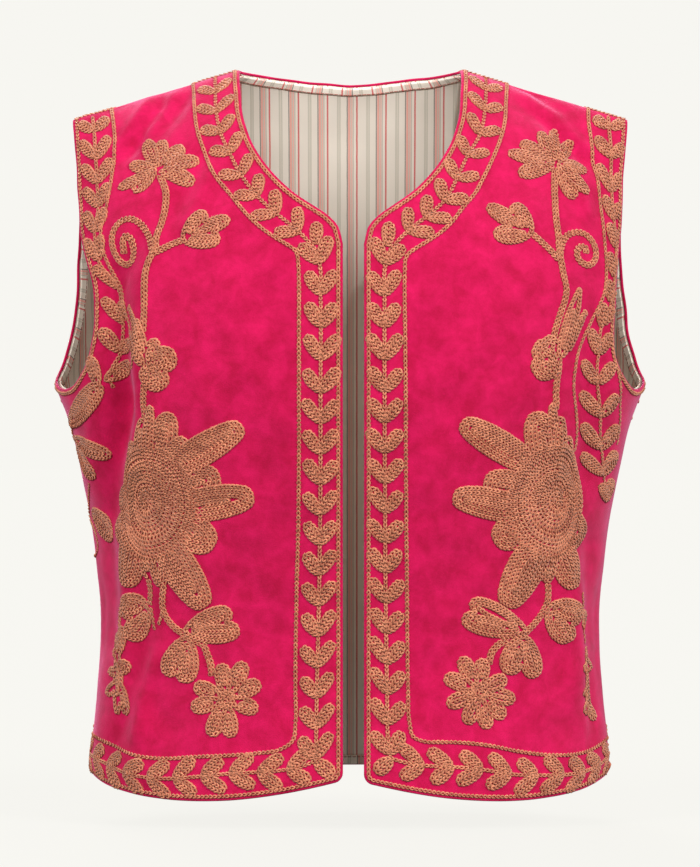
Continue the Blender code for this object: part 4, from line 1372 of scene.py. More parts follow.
def front_border(panel, drawing, shortest):
    """The edging of one front: plain lines and stems, and the leaves on them."""
    chance = np.random.default_rng(SEED + panel.side)
    outline = panel_outline(panel, EDGE_ROOM)
    front_stem = drawn_line(panel, drawing.front_stem)
    hem_stem = drawn_line(panel, drawing.hem_stem)
    lines = [
        free_line(panel, ("neck", "edge", "corner", "hem"), OUTER_LINE_INSET),
        free_line(panel, ("armhole",), OUTER_LINE_INSET),
        front_stem,
        hem_stem,
    ]
    drawn = (drawing.border_line, drawing.armhole_line, drawing.armhole_stem)
    drawn = [drawn_line(panel, line) for line in drawn + drawing.armhole_tails]
    seam = free_line(panel, ("shoulder",), SHOULDER_LINE_INSET)
    between = (seam[:, 0] > drawn[0][0, 0]) & (seam[:, 0] < drawn[1][0, 0])
    lines += drawn + runs_where(seam, ~between, shortest)
    first, spacing = np.array(drawing.front_leaves) * MM
    leaves = leaf_pairs(front_stem, FRONT_LEAF, chance, first + spacing * np.arange(FRONT_PAIRS))
    feet = nearest_runs(front_stem, seen_to_cloth(panel, drawing.neck_feet))
    leaves += leaf_pairs(front_stem, NECK_LEAF, chance, feet, NECK_LEAF_ANGLE)
    first, spacing = np.array(drawing.hem_leaves) * MM
    length = length_of(hem_stem)
    feet = length - np.arange(first, length - HEM_LAST_LEAF, spacing)
    leaves += leaf_pairs(hem_stem, HEM_LEAF, chance, feet)
    for shape in drawing.lone_leaves:
        leaves += echo_rows(drawn_outlines(panel, [shape]))
    fills = cut_rows(leaves, outline, [], shortest)
    covers = []
    for shape in drawing.armhole_leaves:
        outlines = drawn_outlines(panel, [shape])
        fills += cut_rows(echo_rows(outlines), outline, covers, shortest)
        covers += outlines
    return cut_rows(lines, outline, [], shortest), fills


def front_vine(panel, drawing, shortest):
    """The stems, and the flowers and leaves, that climb one front."""
    outline = panel_outline(panel, EDGE_ROOM)
    covers, lines, fills = [], [], []

    def lay(kept, new_rows, new_covers):
        kept.extend(cut_rows(new_rows, outline, covers, shortest))
        covers.extend(new_covers)

    def lay_shapes(shapes):
        outlines = drawn_outlines(panel, shapes)
        lay(fills, echo_rows(outlines), outlines)

    centre = seen_to_cloth(panel, [drawing.blossom])[0]
    lay(fills, core_rows(centre), [ring(centre, CORE_BANDS[-1] - CORE_LAP, CORE_OUTER_SHARE)])
    middle = np.array(drawing.blossom)
    for shape in drawing.blossom_petals:
        foot = np.array(shape.foot)
        foot = foot + PETAL_UNDERLAP * (middle - foot) / np.linalg.norm(middle - foot)
        lay_shapes([shape._replace(foot=foot)])
    for shapes in drawing.shapes:
        lay_shapes(shapes)
    middle = np.array(drawing.rosette)
    centre = seen_to_cloth(panel, [middle])[0]
    lay(fills, eye_rows(centre, ROSETTE_CORE), [ring(centre, ROSETTE_CORE - CORE_LAP)])
    for tip in np.array(drawing.rosette_tips):
        foot = middle + (tip - middle) * ROSETTE_FOOT
        lay_shapes([petal(foot, tip, ROSETTE_PETAL[panel.side])])
    for line in drawing.double_rows:
        stem = drawn_line(panel, line)
        lay(lines, [beside(stem, DOUBLE_ROW_GAP / 2), beside(stem, -DOUBLE_ROW_GAP / 2)], [])
    lay(lines, [drawn_line(panel, line) for line in drawing.single_rows], [])
    return lines, fills


def eye_rows(centre, radius, outer_share=1.0):
    """Rings of stitches, one inside another."""
    sizes = np.arange(radius - FILL_GAP / 2, 0, -FILL_GAP)
    return [ring(centre, size, outer_share) for size in sizes]


def core_rows(centre):
    """A blossom's heart: an eye in rings of short bowed rows."""
    rows = eye_rows(centre, CORE_BANDS[0], CORE_OUTER_SHARE)
    for number, (inner, outer) in enumerate(zip(CORE_BANDS, CORE_BANDS[1:])):
        middle = (inner + outer) / 2
        count = round(2 * math.pi * middle / FILL_GAP)
        bow = (-1) ** number * CORE_BULGE
        share = np.linspace(0, 1, CORE_ROW_POINTS)
        radius = inner + CORE_GROOVE / 2 + share * (outer - inner - CORE_GROOVE)
        for turn in np.arange(count) / count * 2 * math.pi:
            angle = turn + bow * np.sin(math.pi * share) / middle
            rows.append(around(centre, radius, angle, CORE_OUTER_SHARE))
    return rows


def back_border(panel, shortest):
    """The same edging round the back, growing from its middle out to the seams."""
    chance = np.random.default_rng(SEED + BACK_DRAWS)
    outline = panel_outline(panel, EDGE_ROOM)
    lines, leaves = [], []
    for name in ("hem", "armhole", "neck", "right armhole"):
        lines.append(free_line(panel, (name,), OUTER_LINE_INSET))
        lines.append(free_line(panel, (name,), BACK_INNER_INSET))
        stem = free_line(panel, (name,), BACK_STEM_INSET)
        lines.append(stem)
        leaf_size = HEM_LEAF if name == "hem" else FRONT_LEAF
        for half in (stem[stem[:, 0] >= 0], stem[stem[:, 0] <= 0][::-1]):
            if len(half) > 1:
                last = length_of(half) - BACK_LAST_LEAF * leaf_size[0]
                feet = np.arange(BACK_FIRST_LEAF, last, BACK_SPACING)
                leaves += leaf_pairs(half, leaf_size, chance, feet)
    return cut_rows(lines, outline, [], shortest), cut_rows(leaves, outline, [], shortest)


# --- Stitches on the worn form ---


class Stitches(NamedTuple):
    point: np.ndarray
    along: np.ndarray
    out: np.ndarray
    size: np.ndarray  # length, width and thickness, as shares of a plain stitch's


def gathered(parts):
    return Stitches(*(np.concatenate(column) for column in zip(*parts)))


def lay_on_form(panel, rows, pitch, depth, shares=(1.0, 1.0, 1.0)):
    """One stitch after another along each row, on the worn cloth."""
    lines = [evenly(row) for row in rows]
    flat = from_cloth(panel.face, np.vstack(lines))
    points = place(panel.face, panel.side, flat, np.full(len(flat), depth))
    out = normals(folded_place, panel.face, panel.side, flat[:, 0], flat[:, 1])
    found = []
    first = 0
    for line in lines:
        part = slice(first, first + len(line))
        first += len(line)
        run = run_along(points[part])
        count = max(1, round(run[-1] / pitch))
        ends = np.linspace(0, run[-1], count + 1)
        at = np.concatenate([ends, (ends[1:] + ends[:-1]) / 2])
        where = read_at(at, run, points[part])
        facing = read_at(at, run, out[part])
        middles = where[count + 1 :]
        ways = np.diff(where[: count + 1], axis=0)
        size = np.tile(shares * np.array([run[-1] / count / pitch, 1, 1]), (count, 1))
        found.append(Stitches(middles, unit(ways), unit(facing[count + 1 :]), size))
    return gathered(found)


# --- Looks ---

VELVET_DEEP = (0.405, 0.0006, 0.036, 1)
VELVET_BRIGHT = (0.695, 0.0056, 0.100, 1)
VELVET_SHEEN = (1.0, 0.36, 0.62, 1)
# The yarn's two ends of tone: between them lie a stitch's random shade, the painted shade of its twist and
# its fibres.
YARN_DARK = (0.320, 0.064, 0.028, 1)
YARN_LIGHT = (0.900, 0.345, 0.183, 1)
THREAD_COLOUR = (0.260, 0.055, 0.040, 1)
TOPSTITCH_LENGTH = 0.0034
TOPSTITCH_THICKNESS = 0.0005
TOPSTITCH_SINK = 0.4  # the share of a facing's crest that its topstitching lies above
THREAD_LIGHTENING = 1.35  # the thread's lighter turns against its darker ones, partly its own random tone and partly the painted shade of its twist
SHORTEST_ROW = 1.2  # a row with no room for this many stitches is left out
YARN_RIDE = 0.30  # the yarn's middle is this share of its thickness above the cloth
FLOOR_COLOUR = (0.040, 0.040, 0.038, 1)
FLOOR_BOUNCE = 0.15  # how much of its glow falls on the garment
FLOOR_GLOW = 0.935  # as on a light table, so that the shadow on it stays faint
BACKDROP_COLOUR = (0.930, 0.922, 0.880, 1)
KEY_SPREAD = 25.0
KEY_TURN = (61.0, 0.0, 48.0)
SIDE_TURN = (61.0, 0.0, -48.0)
BACK_TURN = (-52.0, 0.0, 14.0)
COLLAR_PLACE = (0.12, -2.0, 0.35)
COLLAR_AIM = (-0.008, 0.08, -0.016)
COLLAR_CONE = 5.9
COLLAR_SOFTNESS = 0.32
COLLAR_SIZE = 0.06
FLOOR_SIZE = 60.0
CAMERA_LENS = 178.8
CAMERA_SENSOR = 36.0
CAMERA_PLACE = (0.0, -3.1, -0.2618)
IMAGE_SIZE = (700, 867)

# --- Meshes ---


def add_mesh(name, points, faces, material, uv=None):
    """A piece's object from points and faces, with a flat map of its cloth."""
    mesh = bpy.data.meshes.new(name)
    mesh.from_pydata(points.tolist(), [], faces)
    if uv is not None:
        layer = mesh.uv_layers.new(name="cloth")
        corners = np.zeros(len(mesh.loops), dtype=np.int32)
        mesh.loops.foreach_get("vertex_index", corners)
        layer.uv.foreach_set("vector", uv[corners].astype(np.float32).ravel())
    made = bmesh.new()
    made.from_mesh(mesh)
    bmesh.ops.recalc_face_normals(made, faces=made.faces)
    made.to_mesh(mesh)
    made.free()
    mesh.shade_smooth()
    mesh.materials.append(material)
    thing = bpy.data.objects.new(name, mesh)
    bpy.context.scene.collection.objects.link(thing)
    return thing


def add_shell(name, panel, depth, wall, inset, cell, material):
    """A panel of cloth with rolled free edges: an outer face, an inner one, and rings between them."""
    loop = edge_loop(panel)
    share = free_share(panel)
    points, uv, rings = [], [], []
    count = 0

    def lay(flat, flat_uv, depths):
        nonlocal count
        points.append(place(panel.face, panel.side, flat, depths))
        uv.append(flat_uv)
        count += len(flat)
        return count - len(flat)

    faces = []
    half = wall / 2
    for turn in ROLL_TURNS:
        angle = math.radians(turn)
        rolled_in = half * (1 - math.cos(angle))
        rolled_depth = half * (1 - math.sin(angle))
        moved = loop_inside(panel, loop, share * (inset + rolled_in))
        square_depth = half * (1 - turn / 90)
        depths = depth + share * rolled_depth + (1 - share) * square_depth
        if turn in (90, -90):
            flat, triangles = fill(moved, cell if turn == 90 else HIDDEN_CELL * cell)
            level = np.full(len(flat), depth if turn == 90 else depth + wall)
            start = lay(flat, to_cloth(panel.face, flat), level)
            faces += [tuple(start + corner for corner in triangle) for triangle in triangles]
        else:
            start = lay(moved, to_cloth(panel.face, moved), depths)
        rings.append(start)
    size = len(loop)
    for one, other in zip(rings, rings[1:]):
        for index in range(size):
            after = (index + 1) % size
            faces.append((one + index, one + after, other + after, other + index))
    return add_mesh(name, np.vstack(points), faces, material, np.vstack(uv))


def facing_rail(panel, name, inset):
    """A line inside one of a panel's stretches, with its ends kept on the seams."""
    stretch = panel.stretches[name]
    line = line_inside(panel.face, stretch, inset)
    for end in (0, -1):
        if abs(stretch[end][0]) > 1 - NUDGE:
            line[end][0] = np.sign(stretch[end][0])
        if stretch[end][1] > 2 - NUDGE:
            line[end][1] = 2.0
    return line


def add_facing(name, runs, depth, wall, inset, width, material):
    """A narrow strip of cloth inside the lining, along one panel's edge after another."""
    share = np.linspace(0, 1, FACING_ROWS)
    swell = FACING_CREST * (1 - (2 * share - 1) ** 2)
    section = [(one, depth) for one in share] + [
        (one, depth + wall + rise) for one, rise in zip(share[::-1], swell[::-1])
    ]
    rails = []
    for across, level in section:
        pieces = []
        for panel, stretch, forward in runs:
            line = facing_rail(panel, stretch, inset + across * width)
            line = line if forward else line[::-1]
            pieces.append(place(panel.face, panel.side, line, np.full(len(line), level)))
        rails.append(joined(pieces))
    rails = np.array(rails)
    high, long = rails.shape[:2]
    run = run_along(rails[0]) + FACING_SHIFT
    uv = np.array([[(step, across * width) for step in run] for across, _ in section])
    faces = []
    for row in range(high):
        after = (row + 1) % high
        for step in range(long - 1):
            at = (row * long + step, row * long + step + 1)
            faces.append((*at, after * long + step + 1, after * long + step))
    faces.append(tuple(row * long for row in range(high)))
    faces.append(tuple(row * long + long - 1 for row in reversed(range(high))))
    return add_mesh(name, rails.reshape(-1, 3), faces, material, uv.reshape(-1, 2))


def joined(pieces):
    """One line of points from several, which share one point where two of them meet at a seam."""
    line = pieces[0]
    for piece in pieces[1:]:
        line = np.vstack([line[:-1], (line[-1:] + piece[:1]) / 2, piece[1:]])
    return line


# --- Stitches by Geometry Nodes ---


def feed(tree, made, links):
    """Joins or sets a node's inputs, by name or number."""
    for key, value in links.items():
        if isinstance(value, bpy.types.NodeSocket):
            tree.links.new(value, made.inputs[key])
        else:
            made.inputs[key].default_value = value


def node(tree, kind, links=None, **settings):
    """Adds a node with its settings and what is given for its inputs."""
    made = tree.nodes.new(kind)
    for key, value in settings.items():
        setattr(made, key, value)
    feed(tree, made, links or {})
    return made


def math_node(tree, operation, first, second=0.0):
    return node(tree, "ShaderNodeMath", {0: first, 1: second}, operation=operation).outputs[0]


def times(tree, first, second):
    return math_node(tree, "MULTIPLY", first, second)


def plus(tree, first, second):
    return math_node(tree, "ADD", first, second)


def less(tree, first, second):
    return math_node(tree, "SUBTRACT", first, second)


def combined(tree, x=0.0, y=0.0, z=0.0):
    return node(tree, "ShaderNodeCombineXYZ", {0: x, 1: y, 2: z}).outputs[0]


def marked(tree, geometry, name, value, domain):
    """Geometry that carries a number for its material to read."""
    links = {"Geometry": geometry, "Name": name, "Value": value}
    kind = "GeometryNodeStoreNamedAttribute"
    return node(tree, kind, links, data_type="FLOAT", domain=domain).outputs[0]


def add_sockets(tree, way, kinds):
    """Gives a group its inputs or outputs, and returns them."""
    return [
        tree.interface.new_socket(title, in_out=way, socket_type=f"NodeSocket{kind}")
        for title, kind in kinds.items()
    ]


STITCH_INPUTS = {
    "Stitches": "Geometry",
    "Length": "Float",
    "Width": "Float",
    "Yarn Thickness": "Float",
    "Irregularity": "Float",
    "Seed": "Int",
    "Yarn": "Material",
}


def stitch_tree(name, shape_of):
    """A tree that puts one stitch on each point, turned to its row and to the cloth under it."""
    tree = bpy.data.node_groups.new(name, "GeometryNodeTree")
    add_sockets(tree, "INPUT", STITCH_INPUTS)
    add_sockets(tree, "OUTPUT", {"Geometry": "Geometry"})
    given = tree.nodes.new("NodeGroupInput").outputs
    stitch = shape_of(tree, given)

    def attribute(title):
        kind = "GeometryNodeInputNamedAttribute"
        return node(tree, kind, {"Name": title}, data_type="FLOAT_VECTOR").outputs["Attribute"]

    links = {"Primary Axis": attribute("out"), "Secondary Axis": attribute("along")}
    axes = {"primary_axis": "Z", "secondary_axis": "X"}
    turned = node(tree, "FunctionNodeAxesToRotation", links, **axes).outputs[0]
    low = less(tree, 1.0, given["Irregularity"])
    high = plus(tree, 1.0, given["Irregularity"])
    links = {
        "Min": combined(tree, low, low, low),
        "Max": combined(tree, high, high, high),
        "Seed": given["Seed"],
    }
    uneven = node(tree, "FunctionNodeRandomValue", links, data_type="FLOAT_VECTOR").outputs[0]
    links = {0: uneven, 1: attribute("size")}
    size = node(tree, "ShaderNodeVectorMath", links, operation="MULTIPLY").outputs[0]
    links = {"Points": given["Stitches"], "Instance": stitch, "Rotation": turned, "Scale": size}
    laid = node(tree, "GeometryNodeInstanceOnPoints", links).outputs[0]
    links = {"Seed": plus(tree, given["Seed"], 1.0)}
    shade = node(tree, "FunctionNodeRandomValue", links, data_type="FLOAT").outputs["Value"]
    laid = marked(tree, laid, "shade", shade, "INSTANCE")
    real = node(tree, "GeometryNodeRealizeInstances", {"Geometry": laid}).outputs[0]
    links = {"Geometry": real, "Material": given["Yarn"]}
    finished = node(tree, "GeometryNodeSetMaterial", links).outputs[0]
    node(tree, "NodeGroupOutput", {"Geometry": finished})
    return tree


LINK_STEPS = 8
LINK_SIDES = 3
LINK_OVERLAP = 1.32  # a link reaches this many stitch lengths, into the next one
LINK_TAPER = 0.45  # how much narrower its tail is than its head
LINK_LIFT = 0.35  # its tail rises over the last link's head by this share of the yarn
TWIST_TURNS = 2.0
RUNNING_HALF = 0.36  # half a running stitch, as a share of the way to the next one
RUNNING_RISE = 1.1  # how high it bows, in thicknesses of its thread
RUNNING_STEPS = 4
RUNNING_SIDES = 5


def chain_link(tree, given):
    """A loop of yarn, narrow where it leaves the last one and round where the next one holds it down."""
    circle = node(tree, "GeometryNodeCurvePrimitiveCircle", {"Resolution": LINK_STEPS, "Radius": 1.0})
    where = node(tree, "GeometryNodeInputPosition").outputs[0]
    x, y, _ = node(tree, "ShaderNodeSeparateXYZ", {0: where}).outputs
    yarn = given["Yarn Thickness"]
    half_length = times(tree, less(tree, times(tree, given["Length"], LINK_OVERLAP), yarn), 0.5)
    half_width = times(tree, less(tree, given["Width"], yarn), 0.5)
    bulk = plus(tree, times(tree, x, LINK_TAPER), 1.0)
    side = times(tree, times(tree, y, bulk), half_width)
    lift = times(tree, times(tree, x, -LINK_LIFT), yarn)
    where = combined(tree, times(tree, x, half_length), side, lift)
    links = {"Geometry": circle.outputs["Curve"], "Position": where}
    looped = node(tree, "GeometryNodeSetPosition", links).outputs[0]
    return yarn_along(tree, looped, yarn, LINK_SIDES, False)


def running_stitch(tree, given):
    """A short straight stitch with its ends sunk into the cloth."""
    thread = given["Yarn Thickness"]
    half = times(tree, given["Length"], RUNNING_HALF)
    ends = {
        "Resolution": RUNNING_STEPS,
        "Start": combined(tree, times(tree, half, -1.0)),
        "Middle": combined(tree, z=times(tree, thread, RUNNING_RISE)),
        "End": combined(tree, half),
    }
    bow = node(tree, "GeometryNodeCurveQuadraticBezier", ends).outputs[0]
    return yarn_along(tree, bow, thread, RUNNING_SIDES, True)


def yarn_along(tree, curve, thickness, sides, capped):
    """Yarn of this thickness along a curve, with a painted shade on it that winds round with its twist."""

    def along_of(path):
        factor = node(tree, "GeometryNodeSplineParameter").outputs["Factor"]
        kept = tree.nodes.new("GeometryNodeCaptureAttribute")
        kept.capture_items.new("FLOAT", "factor")
        feed(tree, kept, {"Geometry": path, 1: factor})
        return kept.outputs["Geometry"], kept.outputs[1]

    path, path_factor = along_of(curve)
    links = {"Resolution": sides, "Radius": times(tree, thickness, 0.5)}
    circle = node(tree, "GeometryNodeCurvePrimitiveCircle", links).outputs["Curve"]
    ring_path, ring_factor = along_of(circle)
    links = {"Curve": path, "Profile Curve": ring_path, "Fill Caps": capped}
    tube = node(tree, "GeometryNodeCurveToMesh", links).outputs[0]
    # Painted shade: each turn of the yarn is light on one side and dark on the other, in place of the shade
    # between its plies.
    turns = plus(tree, times(tree, path_factor, TWIST_TURNS), ring_factor)
    wave = math_node(tree, "SINE", times(tree, turns, 2 * math.pi))
    twist = plus(tree, times(tree, wave, 0.5), 0.5)
    tube = marked(tree, tube, "twist", twist, "POINT")
    return node(tree, "GeometryNodeSetShadeSmooth", {"Geometry": tube}).outputs[0]


def sew(name, stitches, tree, values):
    """One piece of sewing: a stitch of the tree's on each point, turned into a plain mesh."""
    mesh = bpy.data.meshes.new(f"{name}_points")
    mesh.from_pydata(stitches.point.tolist(), [], [])
    for title in ("along", "out", "size"):
        attribute = mesh.attributes.new(title, "FLOAT_VECTOR", "POINT")
        attribute.data.foreach_set("vector", getattr(stitches, title).astype(np.float32).ravel())
    thing = bpy.data.objects.new(name, mesh)
    bpy.context.scene.collection.objects.link(thing)
    modifier = thing.modifiers.new("stitches", "NODES")
    modifier.node_group = tree
    for socket in tree.interface.items_tree:
        if socket.in_out == "INPUT" and socket.name in values:
            modifier[socket.identifier] = values[socket.name]
    evaluated = thing.evaluated_get(bpy.context.evaluated_depsgraph_get())
    finished = bpy.data.meshes.new_from_object(evaluated)
    thing.modifiers.remove(modifier)
    finished.name = name
    thing.data = finished
    bpy.data.meshes.remove(mesh)
    return thing


# --- Materials ---

STRIPES = (
    # start in the repeat, width, which colour
    (0.0000, 0.0012, "red"),
    (0.0075, 0.0013, "pale"),
    (0.0091, 0.0011, "pale"),
    (0.0146, 0.0008, "dark"),
    (0.0156, 0.0015, "pink"),
    (0.0172, 0.0008, "grey"),
    (0.0181, 0.0006, "pink"),
    (0.0189, 0.0010, "grey"),
)
STRIPE_REPEAT = 0.0215
STRIPE_START = 0.0044  # from the centre line to a red stripe
STRIPE_COLOURS = {
    "ground": (0.900, 0.820, 0.715, 1),
    "red": (0.700, 0.070, 0.080, 1),
    "pink": (0.890, 0.350, 0.290, 1),
    "pale": (0.640, 0.590, 0.490, 1),
    "grey": (0.640, 0.530, 0.450, 1),
    "dark": (0.200, 0.170, 0.150, 1),
}
WEAVE_SIZE = 0.0006
WEAVE_FADE = 0.35  # how far the weave lets the ground show through the stripes
PATCH_EDGES = (0.33, 0.69)  # the noise levels at which a patch begins and is full
NOISE_ROUGHNESS = 0.62
NAP = {"Patch Size": 0.013, "Grain Size": 0.0011, "Grain Share": 0.30}
FIBRE_SCALE = 2600.0
YARN_TONES = (0.40, 0.36, 0.24)  # how much a stitch's own random shade, the painted shade of its twist and its fibres count


def new_group(name, inputs):
    """A shader group with named inputs that gives a colour and a height, and the sockets of its ends."""
    group = bpy.data.node_groups.new(name, "ShaderNodeTree")
    add_sockets(group, "INPUT", {"Vector": "Vector"})
    kinds = {title: "Float" if isinstance(value, float) else "Color" for title, value in inputs.items()}
    for socket, value in zip(add_sockets(group, "INPUT", kinds), inputs.values()):
        socket.default_value = value
    add_sockets(group, "OUTPUT", {"Color": "Color", "Height": "Float"})
    return group, group.nodes.new("NodeGroupInput").outputs, group.nodes.new("NodeGroupOutput")


def blend(tree, share, first, second):
    """A colour this share of the way from one to another."""
    return node(tree, "ShaderNodeMix", {"Factor": share, 6: first, 7: second}, data_type="RGBA").outputs[2]


def noise(tree, vector, scale, detail, **more):
    links = {"Vector": vector, "Scale": scale, "Detail": detail, **more}
    return node(tree, "ShaderNodeTexNoise", links).outputs[0]


def mottle_group(name):
    """Two colours in soft patches, with a finer grain inside them."""
    inputs = {"Dark": (0.1, 0.1, 0.1, 1), "Light": (0.8, 0.8, 0.8, 1), **NAP}
    group, given, result = new_group(name, inputs)

    def sized(size, detail, distortion):
        scale = math_node(group, "DIVIDE", 1.0, given[size])
        more = {"Roughness": NOISE_ROUGHNESS, "Distortion": distortion}
        return noise(group, given["Vector"], scale, detail, **more)

    patches, grain = sized("Patch Size", 5.0, 0.25), sized("Grain Size", 2.0, 0.0)
    links = {"Value": patches, "From Min": PATCH_EDGES[0], "From Max": PATCH_EDGES[1]}
    firm = node(group, "ShaderNodeMapRange", links).outputs[0]
    links = {"Factor": given["Grain Share"], 2: firm, 3: grain}
    mixed = node(group, "ShaderNodeMix", links, data_type="FLOAT").outputs[0]
    colour = blend(group, mixed, given["Dark"], given["Light"])
    feed(group, result, {"Color": colour, "Height": grain})
    return group


def stripes_group(name):
    """A woven stripe that repeats along one axis, on a plain ground."""
    inputs = {"Ground": STRIPE_COLOURS["ground"], "Repeat": STRIPE_REPEAT, "Start": STRIPE_START}
    group, given, result = new_group(name, {**inputs, "Weave Size": WEAVE_SIZE})
    x = node(group, "ShaderNodeSeparateXYZ", {0: given["Vector"]}).outputs["X"]
    turns = math_node(group, "DIVIDE", less(group, x, given["Start"]), given["Repeat"])
    share = math_node(group, "FRACT", turns)
    colour = given["Ground"]
    for position, width, tone in STRIPES:
        middle = (position + width / 2) / STRIPE_REPEAT
        near = math_node(group, "ABSOLUTE", less(group, share, middle))
        inside = math_node(group, "LESS_THAN", near, width / 2 / STRIPE_REPEAT)
        colour = blend(group, inside, colour, STRIPE_COLOURS[tone])
    weave = noise(group, given["Vector"], math_node(group, "DIVIDE", 1.0, given["Weave Size"]), 1.0)
    faded = blend(group, times(group, weave, WEAVE_FADE), colour, given["Ground"])
    feed(group, result, {"Color": faded, "Height": weave})
    return group


def plain_material(name, looks):
    material = bpy.data.materials.new(name)
    material.use_nodes = True
    shader = material.node_tree.nodes["Principled BSDF"]
    feed(material.node_tree, shader, {"Metallic": 0.0, **looks})
    return material, material.node_tree, shader


def add_bump(tree, shader, height, distance, strength):
    links = {"Height": height, "Distance": distance, "Strength": strength}
    feed(tree, shader, {"Normal": node(tree, "ShaderNodeBump", links).outputs[0]})


def add_pattern(tree, shader, name, build, links):
    """Joins a shader's colour to a pattern group, and gives the pattern's height."""
    group = bpy.data.node_groups.get(name) or build(name)
    pattern = node(tree, "ShaderNodeGroup", node_tree=group)
    feed(tree, pattern, links)
    feed(tree, shader, {"Base Color": pattern.outputs["Color"]})
    return pattern.outputs["Height"]


def velvet_material(deep, bright, sheen):
    looks = {"Roughness": 0.86, "Specular IOR Level": 0.12, "Sheen Weight": 1.0, "Sheen Roughness": 0.42}
    material, tree, shader = plain_material("velvet", {**looks, "Sheen Tint": sheen})
    where = node(tree, "ShaderNodeTexCoord").outputs["Object"]
    links = {"Vector": where, "Dark": deep, "Light": bright, **NAP}
    height = add_pattern(tree, shader, "mottle", mottle_group, links)
    add_bump(tree, shader, height, distance=0.0006, strength=0.35)
    return material


def yarn_material(name, dark, light):
    looks = {"Roughness": 0.62, "Specular IOR Level": 0.30, "Sheen Weight": 0.25}
    material, tree, shader = plain_material(name, looks)
    shade = node(tree, "ShaderNodeAttribute", attribute_name="shade").outputs["Fac"]
    twist = node(tree, "ShaderNodeAttribute", attribute_name="twist").outputs["Fac"]
    where = node(tree, "ShaderNodeTexCoord").outputs["Object"]
    fibre = noise(tree, where, FIBRE_SCALE, 1.0)
    tone = times(tree, shade, YARN_TONES[0])
    # The twist's part of the tone is painted shade, darker and lighter round each turn of the yarn.
    tone = plus(tree, tone, times(tree, twist, YARN_TONES[1]))
    tone = plus(tree, tone, times(tree, fibre, YARN_TONES[2]))
    feed(tree, shader, {"Base Color": blend(tree, tone, dark, light)})
    add_bump(tree, shader, fibre, distance=0.0004, strength=0.5)
    return material


def cotton_material(name, ground, repeat):
    material, tree, shader = plain_material(name, {"Roughness": 0.88, "Specular IOR Level": 0.15})
    cloth = node(tree, "ShaderNodeUVMap", uv_map="cloth").outputs[0]
    links = {"Vector": cloth, "Ground": ground, "Repeat": repeat}
    links |= {"Start": STRIPE_START, "Weave Size": WEAVE_SIZE}
    height = add_pattern(tree, shader, "stripes", stripes_group, links)
    add_bump(tree, shader, height, distance=0.0003, strength=0.3)
    return material


# --- The add-on ---


def amount_property(name, description, default, **more):
    return bpy.props.FloatProperty(name=name, description=description, default=default, min=0.0, **more)


def length_property(name, description, default):
    return amount_property(name, description, default, unit="LENGTH", precision=5)


def colour_property(name, description, default):
    return bpy.props.FloatVectorProperty(
        name=name, description=description, default=default, subtype="COLOR", size=4, min=0, max=1
    )


class WaistcoatCloth(bpy.types.PropertyGroup):
    velvet_wall: length_property("Velvet", "Thickness of the velvet with its backing", 0.0020)
    lining_wall: length_property("Lining", "Thickness of the cotton lining", 0.0010)
    layer_gap: length_property("Layer Gap", "Room between two layers of cloth", 0.0003)
    lining_inset: length_property("Lining Inset", "How far the lining stops short of an edge", 0.0008)
    facing_wall: length_property("Facing", "Thickness of the facing strips", 0.0006)
    facing_width: length_property("Facing Width", "Width of the facing strips", FACING_WIDTH)
    velvet_deep: colour_property("Deep Pink", "The velvet in its darker patches", VELVET_DEEP)
    velvet_bright: colour_property("Bright Pink", "The velvet in its lighter patches", VELVET_BRIGHT)
    velvet_sheen: colour_property("Sheen", "The velvet's pile seen along it", VELVET_SHEEN)
    lining_ground: colour_property("Lining", "Ground of the striped cotton", STRIPE_COLOURS["ground"])
    facing_repeat: length_property("Facing Stripe", "One repeat of the stripe on a facing", STRIPE_REPEAT)


class WaistcoatStitching(bpy.types.PropertyGroup):
    pitch: length_property("Stitch Length", "From one chain stitch to the next", 0.00310)
    width: length_property("Stitch Width", "Across one chain stitch", 0.00310)
    yarn: length_property("Yarn", "Thickness of the embroidery yarn", 0.00128)
    irregularity: amount_property(
        "Irregularity", "Share by which stitches differ in size", 0.07, max=0.3, subtype="FACTOR"
    )
    seed: bpy.props.IntProperty(name="Seed", description="Seed of the small differences", default=SEED)
    yarn_dark: colour_property("Dark Yarn", "The yarn in its darker turns", YARN_DARK)
    yarn_light: colour_property("Light Yarn", "The yarn in its lighter turns", YARN_LIGHT)
    thread: colour_property("Thread", "The thread that holds the facings down", THREAD_COLOUR)


class WaistcoatStudio(bpy.types.PropertyGroup):
    floor_height: length_property("Floor Gap", "From the hem down to the floor", 0.020)
    floor: colour_property("Floor", "Colour of the floor", FLOOR_COLOUR)
    backdrop: colour_property("Backdrop", "Colour behind the garment", BACKDROP_COLOUR)
    key: amount_property("Key Light", "Strength of the soft main light", 2.55)
    side: amount_property("Side Light", "Strength of the light from the left", 1.85)
    back: amount_property("Back Light", "Strength of the light from behind", 1.9)
    collar: amount_property("Collar Light", "Strength of the light into the neck", 132.0)
    fill: amount_property("Fill Light", "Share of the backdrop's light on things", 0.66)


class WAISTCOAT_OT_velvet(bpy.types.Operator):
    """Makes the three velvet panels"""

    bl_idname = "waistcoat.velvet"
    bl_label = "Velvet"

    def execute(self, context):
        cloth = context.scene.waistcoat_cloth
        material = velvet_material(cloth.velvet_deep, cloth.velvet_bright, cloth.velvet_sheen)
        for name, panel_of in PANELS.items():
            shell = add_shell(
                f"velvet_{name}", panel_of(), 0.0, cloth.velvet_wall, 0.0, VELVET_CELL, material
            )
            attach(shell, "root")
            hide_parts(name)
        return {"FINISHED"}


